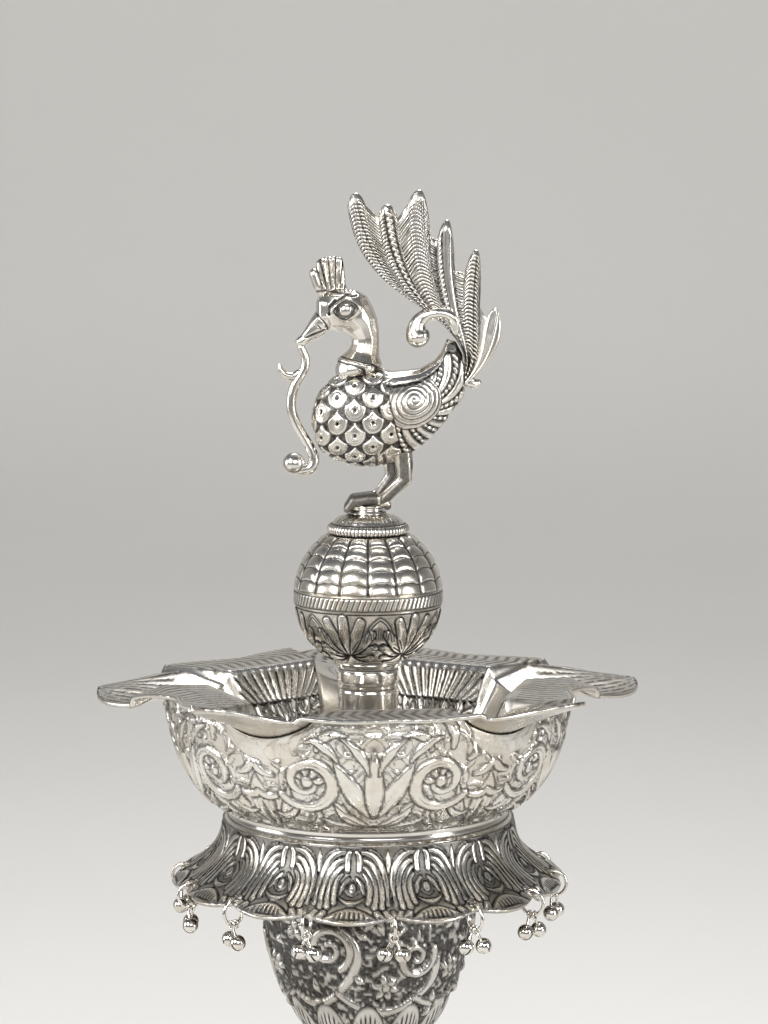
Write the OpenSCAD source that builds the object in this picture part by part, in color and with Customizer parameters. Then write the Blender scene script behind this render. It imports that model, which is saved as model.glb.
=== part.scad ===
// Standing oil lamp: a screwed stack of turned and raised white-metal shells on a foot,
// a five-spouted oil pan in a round bowl, a skirt hung with small bells, a globe and a bird finial.
// Millimetres, +Z up, origin on the axis at the underside of the foot.
// The bird faces -X and the viewer stands at -Y.

/* [Foot and base] */
// Outer radius of the foot ring
foot_r = 71; // [64:0.5:90]
// Height of the foot ring
foot_h = 11; // [10:0.5:16]
// Radius of the base bell where it meets the foot ring
bell_foot_r = 67; // [60:0.5:69]
// Radius of the base bell's top seat
bell_top_r = 15; // [13:0.5:20]
// Height of the base bell
bell_h = 73; // [50:1:100]
// Thickness of the plate that closes the base
plate_t = 1.2; // [0.8:0.1:2]

// Height of the medallions raised from the base
medallion_h = 0.8; // [0.4:0.1:1.2]
// Radius of a medallion
medallion_r = 12.4; // [9:0.2:14]
// Number of medallions round the base
medallion_count = 8; // [6:1:8]

/* [Stem] */
// Height of the lower knop
lower_knop_h = 24; // [16:1:34]
// Widest radius of the lower knop
lower_knop_r = 19; // [16:0.5:26]
// Height of the stem tube
stem_h = 56.6; // [40:0.2:90]
// Slimmest radius of the stem tube
stem_r = 9.3; // [8.5:0.1:12]
// Height of the ring under the vase
vase_knop_h = 7; // [5:0.5:10]
// Radius of the ring under the vase
vase_knop_r = 16; // [14:0.5:20]
// Height of the vase
vase_h = 68; // [55:1:80]
// Widest radius of the vase
vase_r = 30.6; // [26:0.2:36]
// Radius of the vase's top seat
vase_top_r = 14; // [12:0.5:20]
// Radius of the vase's bottom seat
vase_foot_r = 11.5; // [10:0.5:13]

/* [Skirt and bells] */
// Radius of the skirt at the middle of a scallop
skirt_r = 57.5; // [55:0.5:68]
// Radius of the skirt's top seat
skirt_top_r = 42.6; // [41:0.2:46]
// Drop from the skirt's top to its edge
skirt_drop = 18.2; // [15:0.2:22]
// Slope of the skirt's lip below the horizontal, in degrees
lip_slope = 30; // [22:1:36]
// Depth of the valleys between scallops
scallop_depth = 2.4; // [1.5:0.1:3.5]
// Number of scallops, each with a bell in the valley beside it
bell_count = 14; // [10:1:16]
// Direction of the first bell, in degrees from +X
bell_turn = -82.3; // [-180:0.1:180]
// Radius of a bell ring, to the middle of its wire
ring_r = 3.6; // [3.2:0.1:4.4]
// Radius of the ring's wire
ring_wire_r = 0.5; // [0.4:0.05:0.6]
// Radius of a round bell
bell_r = 2.3; // [1.9:0.05:2.4]
// Distance from the ring's wire to the bell's centre
bell_drop = 5.3; // [5.1:0.1:6.5]
// Angle of each bell of a pair from the vertical, in degrees
bell_splay = 27; // [26:0.5:35]

/* [Bowl and oil pan] */
// Height of the collar under the bowl
collar_h = 4.2; // [3:0.2:9]
// Radius of the collar
collar_r = 41.4; // [38:0.2:41.8]
// Height of the bowl
bowl_h = 33.8; // [30:0.2:44]
// Radius of the bowl's rim
bowl_r = 58.4; // [56:0.2:66]
// Radius of the bowl's bottom
bowl_foot_r = 40.8; // [36:0.2:41]
// Radius of the pan's brim between the spouts
brim_r = 59.6; // [58:0.2:68]
// Radius of the spouts' tips
spout_tip_r = 85; // [76:0.5:96]
// Half width of a spout
spout_half_w = 14.5; // [11:0.5:16]
// Number of spouts
spout_count = 5; // [5:1:5]
// Direction of the rear spout, in degrees from +X
spout_turn = 96; // [0:1:360]
// Distance from the axis to the straight inner edge of the brim
well_r = 43.5; // [38:0.5:46]
// Depth of the oil well
well_depth = 26; // [20:0.5:28]

// Height of the scrolls and leaves raised from the bowl
bowl_relief_h = 1; // [0.4:0.1:1.4]
// Outer radius of a scroll on the bowl
scroll_r = 11; // [8:0.2:12]
// Width of a scroll's band
scroll_w = 3.6; // [2.4:0.2:4]

/* [Globe and neck] */
// Length of the neck tube above the well's floor
neck_h = 32.5; // [28:0.5:44]
// Radius of the neck tube
neck_r = 8.75; // [7.5:0.25:10]
// Radius of the globe
globe_r = 21.3; // [18:0.1:26]
// Height of the band round the globe
band_h = 4.5; // [3:0.5:6]
// Radius of the globe's top seat
cap_seat_r = 11.4; // [9:0.2:13]

/* [Finial] */
// Height of the finial cap's fluted ring
cap_ring_h = 3.2; // [2:0.2:5]
// Height of the finial cap's dome
cap_dome_h = 2.8; // [2:0.2:5]
// Radius of the post that the bird stands on
post_r = 5.4; // [4.6:0.2:6.5]
// Height of the post above the cap
post_h = 2.6; // [2:0.2:6]
// Height of the bird from its feet to the tip of its tail
bird_h = 90.5; // [70:0.5:120]

/* [Sheet, rod and fits] */
// Thickness of the raised sheet
sheet = 1.2; // [0.8:0.1:1.6]
// Thickness of the skirt's sheet
skirt_sheet = 1; // [0.8:0.1:1.2]
// Radius of the tie rod
rod_r = 3; // [2.5:0.5:4]
// Radial clearance of the rod in the plates that it passes through
rod_clearance = 0.2; // [0.1:0.05:0.4]
// Radial clearance of a screwed thread, drawn plain
thread_clearance = 0.05; // [0.02:0.01:0.1]
// Gap at a soldered seam
seam = 0.15; // [0.05:0.05:0.3]

/* [Hidden] */
$fn = 96;
silver = [0.78, 0.77, 0.74];
dark_silver = [0.45, 0.44, 0.43];
steel = [0.6, 0.61, 0.62];

// Levels of the stack, from the foot up
bell_z = foot_h;
lower_knop_z = bell_z + bell_h;
stem_z = lower_knop_z + lower_knop_h;
vase_knop_z = stem_z + stem_h;
vase_z = vase_knop_z + vase_knop_h;
skirt_z = vase_z + vase_h;
collar_z = skirt_z + sheet;
bowl_z = collar_z + collar_h;
pan_z = bowl_z + bowl_h + sheet;
well_floor_z = pan_z - well_depth;
globe_seat_r = neck_r + 0.6;
globe_z = well_floor_z + neck_h + sqrt(globe_r * globe_r - globe_seat_r * globe_seat_r);
cap_z = globe_z + sqrt(globe_r * globe_r - cap_seat_r * cap_seat_r);
post_z = cap_z + cap_ring_h + cap_dome_h;
bird_z = post_z + post_h;

// Tie rod, its holes, and the nut and washer under the base plate
rod_hole_r = rod_r + rod_clearance;
nut_h = 5;
nut_r = 1.92 * rod_r;
washer_h = 1;
washer_r = 2.6 * rod_r;
plate_z = foot_h - 1.8 - plate_t;
plate_r = foot_r - 10.6;
rod_foot_z = plate_z - washer_h - nut_h - 0.6;
rod_top_z = cap_z + cap_ring_h + 0.5 * cap_dome_h;

// Skirt's lip, the strip of sheet outside each hole, and the hole that a ring passes through
edge_z = collar_z - skirt_drop;
valley_r = skirt_r - scallop_depth;
valley_z = edge_z + scallop_depth * tan(lip_slope);
strip_w = 1;
ring_clearance = 0.12;
ring_inner_r = ring_r - ring_wire_r;
hole_r = 1.4 * ring_inner_r - 2.84;
strip_half_diagonal = norm([strip_w, skirt_sheet]) / 2;
ring_hang = ring_inner_r - strip_half_diagonal - ring_clearance;
lip_out = [cos(lip_slope), -sin(lip_slope)];
lip_up = [sin(lip_slope), cos(lip_slope)];
ring_pivot = lip_point(strip_w / 2, skirt_sheet / 2);
bell_pivot = ring_pivot - [0, ring_hang + ring_r];

// Small round bells and their loops
bell_wall = 0.35;
loop_wire_r = 0.3;
loop_r = ring_wire_r + 0.25 + loop_wire_r;
loop_gap = 0.8;
shank_r = 0.4;
slit_w = 0.5;
pellet_r = 0.6;

// Oil pan: each spout is a trough that rises from the well and flattens to a tongue below the brim
spout_root_r = 52;
spout_root_drop = 8.6;
spout_tip_drop = 2.8;
spout_edge_drop = 1;
// Each spout is bent by hand: its tip's own lift and reach, from the rear spout round
spout_lift = [0, -1.4, 7.8, 7.8, -1.7];
spout_stretch = [0, -3, -3, -1, 3];
flank_angle = 1.4;
brim_flare = 10;
flare_angle = 22;
// Drop of the brim and tongue on one side of a spout that is bent sideways
spout_roll = [0, 4, 0, 0, -4];
sector = 360 / spout_count;
// Angle of a scroll from the palmette beside it
scroll_turn = 0.27 * sector;
spout_mouth = asin(spout_half_w / brim_r) - 0.4;

// Bird: its outlines are drawn for a height of 90.5 and follow the bird's height
bird_k = bird_h / 90.5;
blob_fn = 12;
loft_sides = 24;
neck_seat = [-2.2, 39.2];
neck_seat_r = 5.8;
neck_tilt = -14;

BELLS = [for (i = [1:bell_count]) i];
function two_digits(i) = str(i < 10 ? "0" : "", i);
function ring_name(i) = str("bell_ring_", two_digits(i));
function pair_name(i) = str("bell_pair_", two_digits(i));

// Curves and turned forms

function bezier(a, b, c, d, steps) =
  [for (i = [0:steps]) let (t = i / steps, u = 1 - t)
    u * u * u * a + 3 * u * u * t * b + 3 * u * t * t * c + t * t * t * d];
function reversed(list) = [for (i = [len(list) - 1:-1:0]) list[i]];
function last(list) = list[len(list) - 1];
function tail_of(list) = [for (i = [1:len(list) - 1]) list[i]];
function clamp(v, low, high) = min(max(v, low), high);

// Inner face of a wall whose outer face runs downwards
function inner_face(curve, wall) =
  [for (i = [0:len(curve) - 1])
    let (d = curve[min(i + 1, len(curve) - 1)] - curve[max(i - 1, 0)])
    curve[i] - wall * [-d.y, d.x] / norm(d)];

// Frame on a turned face at one of its points: +Z out of the face, +X down it
module on_face(curve, i, turn) {
  d = curve[i + 1] - curve[i - 1];
  rotate(turn)
    translate([curve[i].x, 0, curve[i].y])
      rotate([0, atan2(-d.y, d.x), 0]) children();
}

// Ornament pressed out of a turned face, in the outline of the prisms that are given
module raised(curve, height) {
  intersection() {
    rotate_extrude()
      polygon(concat(inner_face(curve, -height), reversed(inner_face(curve, 0.5 * sheet))));
    union() children();
  }
}

// Outline of a leaf, pointed at both ends, along X
module leaf_outline(length, width) {
  r = (length * length + width * width) / (4 * width);
  intersection() {
    translate([0, r - width / 2]) circle(r);
    translate([0, width / 2 - r]) circle(r);
  }
}

// Inner face kept clear of a top plate, and of a bottom plate where there is one
function cavity(curve, wall, floor_t) =
  [for (p = inner_face(curve, wall))
    [max(p.x, rod_hole_r + wall), clamp(p.y, last(curve).y + floor_t, curve[0].y - wall)]];

// Hollow turning with a plate at each end and a hole for the tie rod
module closed_turning(curve, wall) {
  rotate_extrude()
    polygon(concat(
      [[rod_hole_r, curve[0].y]], curve,
      [[rod_hole_r, last(curve).y], [rod_hole_r, last(curve).y + wall]],
      reversed(cavity(curve, wall, wall)),
      [[rod_hole_r, curve[0].y - wall]]
    ));
}

// Hollow turning with a plate at its top only
module open_turning(curve, wall) {
  rotate_extrude()
    polygon(concat(
      [[rod_hole_r, curve[0].y]], curve,
      reversed(cavity(curve, wall, 0)),
      [[rod_hole_r, curve[0].y - wall]]
    ));
}

// Foot and base

module base_nut() {
  color(steel)
    translate([0, 0, plate_z - washer_h - nut_h])
      difference() {
        cylinder(r = nut_r, h = nut_h, $fn = 6);
        translate([0, 0, -1]) cylinder(r = rod_r + thread_clearance, h = nut_h + 2);
      }
}

module base_washer() {
  color(steel)
    translate([0, 0, plate_z - washer_h])
      difference() {
        cylinder(r = washer_r, h = washer_h);
        translate([0, 0, -1]) cylinder(r = rod_hole_r, h = washer_h + 2);
      }
}

module base_plate() {
  color(silver)
    translate([0, 0, plate_z])
      difference() {
        cylinder(r = plate_r, h = plate_t);
        translate([0, 0, -1]) cylinder(r = rod_hole_r, h = plate_t + 2);
      }
}

module foot_ring() {
  recess_r = plate_r + seam;
  ledge_r = plate_r - 3;
  roll_r = foot_h / 2 - 0.5;
  color(silver)
    rotate_extrude()
      difference() {
        union() {
          translate([ledge_r, 0]) square([foot_r - roll_r - ledge_r, foot_h]);
          translate([foot_r - roll_r, foot_h / 2]) circle(r = roll_r);
          translate([foot_r - roll_r - 2, 0]) square([roll_r, 2]);
        }
        translate([0, -1]) square([recess_r, plate_z + plate_t + 1]);
      }
}

function bell_curve() =
  let (
    top = [bell_top_r, lower_knop_z],
    shoulder = [0.8 * bell_foot_r, bell_z + 0.2 * bell_h],
    foot = [bell_foot_r, bell_z]
  )
  concat(
    bezier(top, [bell_top_r + 1, lower_knop_z - 0.36 * bell_h],
      [0.45 * bell_foot_r, shoulder.y + 0.2 * bell_h], shoulder, 12),
    tail_of(bezier(shoulder, [0.92 * bell_foot_r, shoulder.y - 0.05 * bell_h],
      [bell_foot_r, foot.y + 0.1 * bell_h], foot, 8))
  );

// Round medallions on the flare of the base
module base_medallions() {
  curve = bell_curve();
  raised([for (i = [5:len(curve) - 3]) curve[i]], medallion_h)
    for (k = [0:medallion_count - 1])
      on_face(curve, 10, -90 + k * 360 / medallion_count)
        cylinder(r = medallion_r, h = 20, center = true);
}

module base_bell() {
  color(silver) {
    open_turning(bell_curve(), sheet);
    base_medallions();
  }
}

// Stem

module lower_knop() {
  swell = (4 * lower_knop_r - 0.5 * (bell_top_r + stem_r)) / 3;
  color(silver)
    closed_turning(bezier(
      [stem_r + 1.5, stem_z], [swell, stem_z - 1],
      [swell, lower_knop_z + 1], [bell_top_r - 2, lower_knop_z], 14), sheet);
}

module stem_tube() {
  color(silver)
    closed_turning(bezier(
      [vase_foot_r + 1, vase_knop_z], [stem_r - 1, vase_knop_z - 0.2 * stem_h],
      [stem_r - 1, stem_z + 0.25 * stem_h], [stem_r + 2, stem_z], 14), sheet);
}

module vase_knop() {
  round_r = vase_knop_h / 2;
  color(silver)
    translate([0, 0, vase_knop_z])
      rotate_extrude()
        difference() {
          union() {
            translate([rod_hole_r, 0]) square([vase_knop_r - round_r - rod_hole_r, vase_knop_h]);
            translate([vase_knop_r - round_r, round_r]) circle(r = round_r);
          }
          square([rod_hole_r, vase_knop_h]);
        }
}

function vase_curve() =
  let (
    top = [vase_top_r, skirt_z],
    widest = [vase_r, vase_z + 0.65 * vase_h],
    foot = [vase_foot_r, vase_z]
  )
  concat(
    bezier(top, [0.8 * vase_r, skirt_z - 0.5], [vase_r, widest.y + 0.19 * vase_h], widest, 8),
    tail_of(bezier(widest, [vase_r, vase_z + 0.46 * vase_h],
      [0.8 * vase_r, vase_z + 0.14 * vase_h], foot, 12))
  );

module stem_vase() {
  color(dark_silver) closed_turning(vase_curve(), sheet);
}

// Skirt and bells

// Point of the lip beside a bell: q along the sheet from the valley's edge, deep below its top face
function lip_point(q, deep) = [valley_r, valley_z] - q * lip_out - deep * lip_up;

function skirt_curve() =
  let (top = [skirt_top_r, collar_z], edge = [skirt_r, edge_z])
  bezier(top, top - [0.2, 0.5 * skirt_drop], edge - 0.7 * (skirt_r - skirt_top_r) * lip_out,
    edge, 14);

// Outline of the scalloped edge: one arc a scallop, meeting in the valleys
module scallop_outline() {
  half = 180 / bell_count;
  chord = valley_r * sin(half);
  rise = skirt_r - valley_r * cos(half);
  arc_r = (chord * chord + rise * rise) / (2 * rise);
  circle(r = 0.9 * valley_r);
  for (i = BELLS)
    rotate(bell_turn + (i - 0.5) * 360 / bell_count)
      translate([skirt_r - arc_r, 0]) circle(r = arc_r);
}

// Frame of a bell: +X outwards, +Z up, at the lamp's axis
module at_bell(i) {
  rotate(bell_turn + (i - 1) * 360 / bell_count) children();
}

module skirt() {
  hole = lip_point(strip_w + hole_r, skirt_sheet / 2);
  color(silver)
    difference() {
      intersection() {
        open_turning(skirt_curve(), skirt_sheet);
        translate([0, 0, edge_z - 5]) linear_extrude(skirt_drop + 10) scallop_outline();
      }
      for (i = BELLS)
        at_bell(i)
          translate([hole.x, 0, hole.y])
            rotate([0, lip_slope, 0])
              cylinder(r = hole_r, h = 4 * skirt_sheet, center = true);
    }
}

module bell_ring(i) {
  color(silver)
    at_bell(i)
      translate([ring_pivot.x, 0, ring_pivot.y - ring_hang])
        rotate([90, 0, 0])
          rotate_extrude() translate([ring_r, 0]) circle(r = ring_wire_r);
}

// Round bell hung from the origin along -Z: a slit shell with a shank and a loop
module hung_bell() {
  difference() {
    translate([0, 0, -bell_drop]) sphere(r = bell_r);
    translate([0, 0, -bell_drop]) sphere(r = bell_r - bell_wall);
    translate([-bell_r - 1, -slit_w / 2, -bell_drop - bell_r - 1])
      cube([2 * bell_r + 2, slit_w, bell_r + 1]);
  }
  translate([0, 0, -bell_drop + bell_r - bell_wall / 2])
    cylinder(r = shank_r, h = bell_drop - bell_r + bell_wall / 2 - loop_r);
  rotate([0, 90, 0]) rotate_extrude() translate([loop_r, 0]) circle(r = loop_wire_r);
}

module bell_pair(i) {
  pellet_drop = bell_r - bell_wall - pellet_r - 0.05;
  color(silver)
    at_bell(i)
      translate([bell_pivot.x, 0, bell_pivot.y])
        for (side = [-1, 1])
          translate([side * loop_gap, 0, 0]) {
            rotate([side * bell_splay, 0, 0]) hung_bell();
            translate([0, side * bell_drop * sin(bell_splay), -bell_drop * cos(bell_splay) - pellet_drop])
              sphere(r = pellet_r);
          }
}

// Bowl and oil pan

module bowl_collar() {
  waist = 0.9;
  color(silver)
    rotate_extrude()
      polygon(concat(
        bezier([collar_r, bowl_z], [collar_r - waist, bowl_z - 0.3 * collar_h],
          [collar_r - waist, collar_z + 0.3 * collar_h], [collar_r + 0.6, collar_z], 6),
        [[collar_r - 2.2, collar_z], [collar_r - 2.2, bowl_z]]
      ));
}

function bowl_curve(n = 16) =
  bezier([bowl_r, bowl_z + bowl_h], [bowl_r - 0.9, bowl_z + 0.5 * bowl_h],
    [bowl_foot_r + 0.56 * (bowl_r - bowl_foot_r), bowl_z + 0.1 * bowl_h], [bowl_foot_r, bowl_z], n);

// Frame of a spout: +X outwards along the spout
module at_spout(i) {
  rotate(spout_turn + i * sector) children();
}

// Cross-section of the notch that lets a spout through the bowl's wall
module spout_notch(i) {
  side = spout_half_w + 1.2;
  deck = spout_edge_drop + sheet + 0.6;
  dish = spout_floor(bowl_r - 1.9, i) - spout_edge_drop + 0.2;
  polygon(concat([[side, 5], [-side, 5]],
    [for (x = [-1:0.2:1.01]) [side * x, -deck - dish * (1 - x * x)]]));
}

// Scrolls and a palmette between each two spouts
module bowl_ornament() {
  curve = bowl_curve(8);
  raised([for (i = [1:7]) curve[i]], bowl_relief_h)
    for (i = [0:spout_count - 1])
      let (middle = spout_turn + (i + 0.5) * sector - 4) {
        for (side = [-1, 1])
          on_face(curve, 3, middle + side * scroll_turn)
            difference() {
              cylinder(r = scroll_r, h = 12, center = true);
              cylinder(r = scroll_r - scroll_w, h = 13, center = true);
            }
        for (a = [-30, 0, 30])
          on_face(curve, 4, middle)
            translate([0.23 * bowl_h, 0, 0])
              rotate(a) translate([-0.34 * bowl_h, 0, 0])
                linear_extrude(16, center = true) leaf_outline(0.66 * bowl_h, 0.18 * bowl_h);
      }
}

module bowl_shell() {
  curve = bowl_curve();
  inner = [for (p = inner_face(curve, sheet)) [p.x, clamp(p.y, bowl_z + sheet, bowl_z + bowl_h)]];
  color(silver)
    difference() {
      union() {
        rotate_extrude()
          polygon(concat(curve, [[rod_hole_r, bowl_z], [rod_hole_r, bowl_z + sheet]], reversed(inner)));
        bowl_ornament();
      }
      for (i = [0:spout_count - 1])
        at_spout(i)
          translate([well_r, 0, pan_z])
            rotate([90, 0, 90]) linear_extrude(brim_r) spout_notch(i);
    }
}

module bowl_spacer() {
  color(steel)
    translate([0, 0, bowl_z + sheet])
      difference() {
        cylinder(r = neck_r, h = well_floor_z - bowl_z - 2 * sheet);
        translate([0, 0, -1]) cylinder(r = rod_hole_r, h = well_floor_z - bowl_z + 2);
      }
}

// Directions across one sector of the pan, closest where the brim folds down to a spout
function pan_angles() =
  let (m = spout_mouth, half = sector / 2)
  [0, 0.2 * m, 0.4 * m, 0.6 * m, 0.78 * m, 0.92 * m, m, m + flank_angle,
    m + 0.25 * (half - m), m + 0.5 * (half - m), m + 0.75 * (half - m), half];
function sector_angles() =
  let (a = pan_angles(), n = len(a))
  concat([for (i = [n - 1:-1:1]) -a[i]], [for (i = [0:n - 2]) a[i]]);
function pan_directions() =
  [for (i = [0:spout_count - 1], a = sector_angles()) [spout_turn + i * sector + a, abs(a), i, sign(a)]];
function tip_reach(i) = spout_tip_r + spout_stretch[i];
function tip_drop(i) = spout_tip_drop - spout_lift[i];

// Outline of the pan at an angle from the nearest spout
function spout_reach(a, i) =
  let (
    length = tip_reach(i) - spout_root_r,
    p = pow(cos(a) / length, 2) + pow(sin(a) / (1.2 * spout_half_w), 2),
    q = spout_root_r * cos(a) / (length * length),
    c = pow(spout_root_r / length, 2) - 1,
    disc = q * q - p * c
  )
  disc > 0 ? (q + sqrt(disc)) / p : 0;
function ear_share(a) = clamp(1 - (a - spout_mouth) / flare_angle, 0, 1);
function brim_reach(a) = brim_r + brim_flare * pow(ear_share(a), 1.2);
function pan_reach(a, i) =
  a <= spout_mouth ? max(brim_reach(spout_mouth) - 1.2, spout_reach(a, i)) : brim_reach(a);
function well_reach(a) =
  a <= spout_mouth ? spout_root_r - 4 * a / spout_mouth : well_r / cos(sector / 2 - a);

// Share of the way from a spout's root to its tip, and the drop of the spout's floor and edge there
function spout_share(r, i) = clamp((r - spout_root_r) / (tip_reach(i) - spout_root_r), 0, 1);
function spout_floor(r, i) =
  tip_drop(i) + (spout_root_drop - tip_drop(i)) * pow(1 - spout_share(r, i), spout_lift[i] > 0 ? 1.2 : 3);
function spout_edge(r, i) =
  spout_edge_drop + (tip_drop(i) - spout_edge_drop) * pow(spout_share(r, i), 2);

// Outer edge of the bowl's rim, under the brim
rim_seat_r = 0.5 * (bowl_r + brim_r);
// Drop of the pan's face below the brim, at a radius and an angle to one side of spout i
function side_roll(i, side) = max(0, spout_roll[i] * side);
function ear_drop(r, a, i, side) =
  let (out = clamp((r - rim_seat_r) / (brim_r + brim_flare - rim_seat_r), 0, 1))
  (side_roll(i, side) - 0.3 * max(0, spout_lift[i])) * ear_share(a) * out;
function pan_drop(r, a, i, side) =
  a > spout_mouth ? ear_drop(r, a, i, side) :
  let (across = clamp(r * sin(a) / spout_half_w, 0, 1), out = clamp((r - rim_seat_r) / 8, 0, 1))
  spout_floor(r, i) + (spout_edge(r, i) - spout_floor(r, i)) * across * across
    + side_roll(i, side) * across * out;

// Rows of the pan's top face at one direction, from the rod hole out to the edge
function pan_row(a, i, side) =
  let (
    edge = pan_reach(a, i),
    well = well_reach(a),
    lip = pan_drop(well, a, i, side),
    floor_r = 0.74 * well_r / cos(sector / 2 - a)
  )
  concat(
    [[rod_hole_r, -well_depth], [floor_r - 3, -well_depth], [floor_r, -well_depth + 1.2]],
    [[0.45 * floor_r + 0.55 * well, -0.5 * well_depth - 0.5 * lip]],
    [[well - 0.8, -lip - 1.6]],
    [for (f = [0, 0.5])
      let (r = well + (rim_seat_r - well) * f) [r, -pan_drop(r, a, i, side)]],
    [for (f = [0, 0.25, 0.5, 0.78, 1])
      let (r = rim_seat_r + (edge - rim_seat_r) * f) [r, -pan_drop(r, a, i, side)]]
  );
// Offsets from the top face to the under face, row by row
pan_under = [[0, -1], [0.2, -1], [0.7, -0.8], [0.9, -0.35], [0.9, -0.5],
  [0.6, -1], [0, -1], [0, -1], [0, -1], [0, -1], [0, -1], [0, -1]];

module oil_pan() {
  directions = pan_directions();
  columns = len(directions);
  rows = len(pan_under);
  top = [for (d = directions, p = pan_row(d[1], d[2], d[3])) [p.x * cos(d[0]), p.x * sin(d[0]), p.y]];
  under = [for (d = directions) let (row = pan_row(d[1], d[2], d[3]))
    for (j = [0:rows - 1]) let (p = row[j] + sheet * pan_under[j])
      [p.x * cos(d[0]), p.x * sin(d[0]), p.y]];
  count = columns * rows;
  function at(i, j) = (i % columns) * rows + j;
  skin = [for (i = [0:columns - 1], j = [0:rows - 2]) each [
    [at(i, j), at(i + 1, j), at(i + 1, j + 1)],
    [at(i, j), at(i + 1, j + 1), at(i, j + 1)],
    [count + at(i, j), count + at(i + 1, j + 1), count + at(i + 1, j)],
    [count + at(i, j), count + at(i, j + 1), count + at(i + 1, j + 1)]]];
  edges = [for (i = [0:columns - 1]) each [
    [at(i, rows - 1), at(i + 1, rows - 1), count + at(i + 1, rows - 1)],
    [at(i, rows - 1), count + at(i + 1, rows - 1), count + at(i, rows - 1)],
    [at(i, 0), count + at(i + 1, 0), at(i + 1, 0)],
    [at(i, 0), count + at(i, 0), count + at(i + 1, 0)]]];
  color(silver)
    translate([0, 0, pan_z]) polyhedron(points = concat(top, under), faces = concat(skin, edges));
}

// Globe and neck

module neck_tube() {
  flange = 2.2;
  globe_foot_z = well_floor_z + neck_h;
  color(silver)
    rotate_extrude()
      polygon([
        [rod_hole_r, well_floor_z], [neck_r + flange, well_floor_z],
        [neck_r + flange, well_floor_z + sheet], [neck_r, well_floor_z + 2.4 * sheet],
        [neck_r, globe_foot_z - 6.5], [neck_r + 0.35, globe_foot_z - 6],
        [neck_r + 0.35, globe_foot_z - 1.2], [globe_seat_r, globe_foot_z],
        [rod_hole_r, globe_foot_z], [rod_hole_r, globe_foot_z - sheet],
        [neck_r - sheet, globe_foot_z - sheet], [neck_r - sheet, well_floor_z + sheet],
        [rod_hole_r, well_floor_z + sheet]
      ]);
}

// Profile of the globe's wall between two heights from its middle, with a plate at its far end
module globe_wall(low, high, plate_at) {
  plate_edge = sqrt(globe_r * globe_r - plate_at * plate_at);
  plate_low = plate_at > 0 ? plate_at - sheet : plate_at;
  intersection() {
    difference() {
      circle(r = globe_r);
      circle(r = globe_r - sheet);
    }
    translate([0, low]) square([globe_r + 1, high - low]);
  }
  translate([rod_hole_r, plate_low]) square([plate_edge - rod_hole_r - 0.4 * sheet, sheet]);
}

module globe_lower() {
  foot = -sqrt(globe_r * globe_r - globe_seat_r * globe_seat_r);
  color(silver)
    translate([0, 0, globe_z]) rotate_extrude() globe_wall(foot, -band_h / 2, foot);
}

module globe_upper() {
  head = sqrt(globe_r * globe_r - cap_seat_r * cap_seat_r);
  color(silver)
    translate([0, 0, globe_z]) rotate_extrude() globe_wall(band_h / 2, head, head);
}

module globe_band() {
  proud = 0.3;
  color(silver)
    translate([0, 0, globe_z])
      rotate_extrude()
        translate([globe_r - 2 * sheet, -band_h / 2]) square([2 * sheet + proud, band_h]);
}

module tie_rod() {
  color(steel) translate([0, 0, rod_foot_z]) cylinder(r = rod_r, h = rod_top_z - rod_foot_z);
}

// Finial

module finial_cap() {
  bead_r = cap_ring_h / 2;
  dome_z = cap_z + cap_ring_h;
  color(silver)
    difference() {
      rotate_extrude() {
        translate([0, cap_z]) square([cap_seat_r, cap_ring_h]);
        translate([cap_seat_r - bead_r + 0.5, cap_z + bead_r]) circle(r = bead_r);
        polygon(concat([[0, dome_z]],
          bezier([cap_seat_r - 0.8, dome_z], [cap_seat_r - 2, dome_z + 0.6 * cap_dome_h],
            [post_r + 1.5, post_z - 0.3], [post_r + 0.3, post_z], 8),
          [[0, post_z]]));
      }
      translate([0, 0, cap_z - 1]) cylinder(r = rod_r + thread_clearance, h = rod_top_z - cap_z + 1.1);
    }
}

module finial_post() {
  color(silver)
    translate([0, 0, post_z])
      rotate_extrude()
        polygon([[0, 0], [post_r, 0], [post_r - 0.5, 0.35 * post_h], [post_r - 0.5, 0.6 * post_h],
          [post_r, post_h], [0, post_h]]);
}

// Bird, in its own frame: origin between its feet on the post, in the height that bird_h gives

module at_bird() {
  translate([0, 0, bird_z]) scale(bird_k) children();
}

// Smooth run of round blobs along a list of [x, y, z, radius]
module run(blobs) {
  for (i = [0:len(blobs) - 2])
    hull()
      for (b = [blobs[i], blobs[i + 1]])
        translate([b.x, b.y, b.z]) sphere(r = b[3], $fn = blob_fn);
}

// Loft along +X through upright ellipses [x, middle height, half height, half width]
module loft(sections) {
  n = loft_sides;
  count = len(sections);
  points = [for (s = sections, k = [0:n - 1])
    [s.x, s[3] * cos(360 * k / n), s.y + s[2] * sin(360 * k / n)]];
  walls = [for (i = [0:count - 2], k = [0:n - 1]) let (l = (k + 1) % n) each [
    [i * n + k, (i + 1) * n + k, (i + 1) * n + l],
    [i * n + k, (i + 1) * n + l, i * n + l]]];
  caps = [[for (k = [0:n - 1]) k], [for (k = [n - 1:-1:0]) (count - 1) * n + k]];
  polyhedron(points = points, faces = concat(walls, caps));
}

// Breast, back and rump of the bird
body_sections = [
  [-15.8, 24.9, 1.5, 1], [-14.6, 24.3, 6.5, 4], [-12.8, 24.6, 9.2, 5.8], [-10, 25, 11.6, 7.4],
  [-6, 25.3, 13.3, 8.8], [-2, 25.4, 14.1, 9.5], [2, 25.5, 14, 9.7], [6.5, 25.7, 13.1, 9.3],
  [11, 26.8, 12.3, 8.4], [15, 28.3, 11.3, 7.2], [19, 31.3, 10.5, 5.8], [21, 33.6, 10.6, 5],
  [22.6, 36.5, 11.5, 4.4], [25.3, 37.9, 9.2, 3.3], [27.2, 37.4, 6, 2.4]];

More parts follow.
